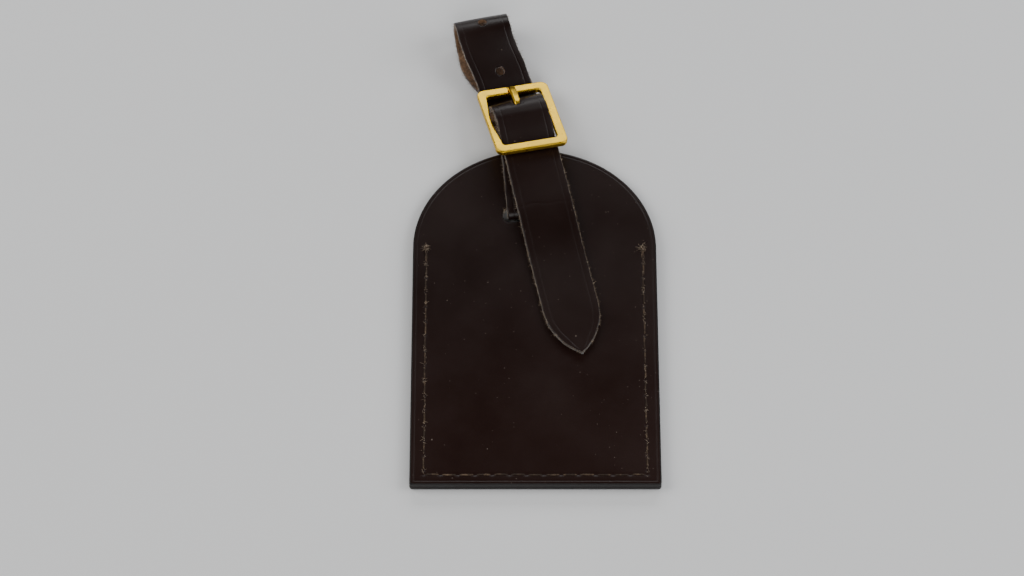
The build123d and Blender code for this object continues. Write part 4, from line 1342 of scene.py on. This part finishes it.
def buildProng():
    # an eye round the bar, and a bent shaft of rounded-box section that narrows to its tip
    rise, thickness, steps, around = prong["rise"], prong["thickness"], prong["steps"], prong["around"]
    tipAhead = frameLength / 2 - prong["tipInset"]
    tipUp = (brass["barDrop"] - tipAhead * math.tan(pitchAngle) + brass["thickness"] / 2
             - brass["notchDepth"] + prong["tipGap"] + thickness / 2)
    knots = np.array([(-0.6 * mm, 0.8 * mm), (0.6 * mm, 1.2 * mm), (2.6 * mm, 1.85 * mm),
                      (4.6 * mm, rise - 0.05 * mm), (7.0 * mm, rise - 0.62 * mm),
                      (9.8 * mm, rise * 0.38 + tipUp * 0.62), (tipAhead - 0.6 * mm, tipUp + 0.02 * mm),
                      (tipAhead, tipUp)])
    t = np.linspace(0, 1, steps)
    at = np.linspace(0, 1, len(knots))
    smooth = np.stack([np.interp(t, at, knots[:, k]) for k in (0, 1)], -1)
    for _ in range(6):
        smooth[1:-1] = (smooth[:-2] + 2 * smooth[1:-1] + smooth[2:]) / 4
    tangent = np.gradient(smooth, axis=0)
    tangent /= np.linalg.norm(tangent, axis=1)[:, None]
    angle = np.linspace(0, 2 * math.pi, around, endpoint=False)
    power = 2 / prong["squareness"]
    shapeX = np.sign(np.cos(angle)) * np.abs(np.cos(angle)) ** power
    shapeZ = np.sign(np.sin(angle)) * np.abs(np.sin(angle)) ** power
    # a low ridge a third of the way in from the left, as on a struck prong
    ridge = np.exp(-((shapeX - prong["ridgeAt"]) / prong["ridgeWidth"]) ** 2) * (shapeZ > 0.3)
    ridge = prong["ridge"] * ridge
    nearTip = np.clip((t - 0.9) / 0.1, 0, 1)[:, None]
    # it sits a little to the left on its bar
    lean = prong["lean"] + (smooth[:, :1] - prong["leanFrom"]) * prong["leanGrowth"]
    across = prong["width"] / 2 * (1 - 0.30 * nearTip ** 2) * shapeX + lean
    lift = thickness / 2 * (1 - 0.35 * nearTip ** 2) * shapeZ + ridge * (1 - nearTip)
    shaft = onBar(across, smooth[:, :1] - tangent[:, 1:] * lift, smooth[:, 1:] + tangent[:, :1] * lift)
    # one smaller ring rounds the tip
    rounded = smooth[-1] + tangent[-1] * 0.32 * mm
    cap = onBar(across[-1] * 0.6, rounded[0] - tangent[-1, 1] * lift[-1] * 0.6,
                rounded[1] + tangent[-1, 0] * lift[-1] * 0.6)
    faces = capTube(steps + 1, around, 0)
    # the eye: a ring of rounded section round the bar
    inside, outside = brass["barRadius"] + prong["eyeInside"], brass["barRadius"] + prong["eyeOutside"]
    turn = np.linspace(0, 2 * math.pi, prong["eyeSteps"], endpoint=False)[:, None]
    radius = (inside + outside) / 2 + (outside - inside) / 2 * shapeZ[None]
    side = prong["width"] / 2 * shapeX[None] + lean[0, 0] + 0 * turn
    eye = onBar(side, radius * np.cos(turn), radius * np.sin(turn))
    faces += gridFaces(prong["eyeSteps"], around, wrapRows=True, wrapCols=True,
                       base=(steps + 1) * around).tolist()
    verts = np.concatenate([shaft.reshape(-1, 3), cap, eye.reshape(-1, 3)])
    piece = makePiece("buckleProng", verts, faces, [goldMaterial])
    fixNormals(piece)
    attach(piece, "prong")
    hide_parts("buckle_prong")


buildFrame()
buildProng()
print("buckle cast")


def edgeRoots(route, span, count, rng, halfAt=None):
    # roots spread at random over one raw side of the strap, and the way each fibre sets out
    low, high, side = span
    s = rng.uniform(low, high, count)
    middle, across, normal, thickness = along(route, s)[:4]
    half = np.full(count, strap["width"] / 2) if halfAt is None else halfAt(s)
    depth = thickness * rng.uniform(-0.42, 0.42, count)
    roots = middle + across * (half * side)[:, None] + normal * depth[:, None]
    out = across * side + rng.normal(size=(count, 3)) * 0.7
    return roots, out / np.linalg.norm(out, axis=1)[:, None]


def buildFuzz(name, route, low, high, count, seed, halfAt=None):
    rng = np.random.default_rng(seed)
    sides = [edgeRoots(route, (low, high, side), count, rng, halfAt) for side in (1, -1)]
    roots, directions = (np.concatenate(part) for part in zip(*sides))
    lengths = rng.uniform(0.15, 0.65, len(roots)) ** 1.5 * mm
    verts, faces = fibreTubes(roots, directions, lengths, rng, steps=4)
    verts[:, 2] = np.maximum(verts[:, 2], 0.05 * mm)
    piece = makePiece(name, verts, faces, [fuzzMaterial])
    return piece


strapFuzz = buildFuzz("strapFuzz", mainRoute, 0.02, mainEnd, 1500, 21)
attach(strapFuzz, "strap_body")
tailFuzz = buildFuzz("tailFuzz", tailLine, tailStart, tailTip, 950, 22, tailHalf)
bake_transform(tailFuzz)
print("fibres laid")


for node, material in (("window_sheet", clearSheet()), ("address_card", cardPaper())):
    kept = bpy.data.objects[node]
    for slotNumber in range(len(kept.material_slots)):
        kept.material_slots[slotNumber].material = material


def stageMaterial():
    material, n, shader = newMaterial("table")
    place = objectPlace(n)
    soft = n.noise(place, 9.0, 3.0)
    n.tree.links.new(n.mix(soft, (0.85, 0.85, 0.855, 1), (0.88, 0.88, 0.88, 1)), shader.inputs["Base Color"])
    shader.inputs["Roughness"].default_value = 0.85
    return material


def buildFloor():
    t = np.linspace(-1.6, 1.6, 9)
    gx, gy = np.meshgrid(t, t + 0.5, indexing="ij")
    verts = np.stack([gx, gy, np.full_like(gx, -0.0002)], -1).reshape(-1, 3)
    floor = makePiece("tableTop", verts, gridFaces(len(t), len(t)).tolist(), [stageMaterial()])
    fixNormals(floor)


buildFloor()


lights = {"leftPanel": {"place": (-0.95, 0.05, 0.75), "size": (0.9, 0.9), "power": 7.5,
                        "colour": (1.0, 0.99, 0.97)},
          "rightPanel": {"place": (0.95, -0.05, 0.7), "size": (0.8, 0.8), "power": 6.5,
                         "colour": (0.98, 0.99, 1.0)},
          "nearPanel": {"place": (0.1, -1.0, 0.75), "size": (0.9, 0.6), "power": 6,
                        "colour": (1.0, 1.0, 1.0)},
          "farPanel": {"place": (0.05, 1.05, 0.58), "size": (1.5, 0.42), "power": 6.5,
                       "colour": (0.97, 0.99, 1.0)}}


def areaLight(name, values):
    # a soft panel that faces the middle of the tag
    data = bpy.data.lights.new(name, "AREA")
    data.shape = "RECTANGLE"
    data.size, data.size_y = values["size"]
    data.energy, data.color = values["power"], values["colour"]
    lamp = bpy.data.objects.new(name, data)
    bpy.context.scene.collection.objects.link(lamp)
    lamp.location = values["place"]
    aim = -np.array(values["place"]) / np.linalg.norm(values["place"])
    lamp.rotation_euler = (math.acos(-aim[2]), 0, math.atan2(-aim[0], aim[1]))


for name, values in lights.items():
    areaLight(name, values)

world = bpy.data.worlds.new("room")
world.use_nodes = True
world.node_tree.nodes["Background"].inputs[0].default_value = (0.85, 0.90, 0.96, 1)
world.node_tree.nodes["Background"].inputs[1].default_value = 0.06
bpy.context.scene.world = world

cameraValues = {"place": (-0.0065, -0.5515, 0.8971), "downTilt": 31.0, "lens": 128.3, "sensor": 36.0}
cameraData = bpy.data.cameras.new("camera")
cameraData.lens, cameraData.sensor_width = cameraValues["lens"], cameraValues["sensor"]
camera = bpy.data.objects.new("camera", cameraData)
camera.location = cameraValues["place"]
camera.rotation_euler = (math.radians(cameraValues["downTilt"]), 0, 0)
bpy.context.scene.collection.objects.link(camera)
bpy.context.scene.camera = camera
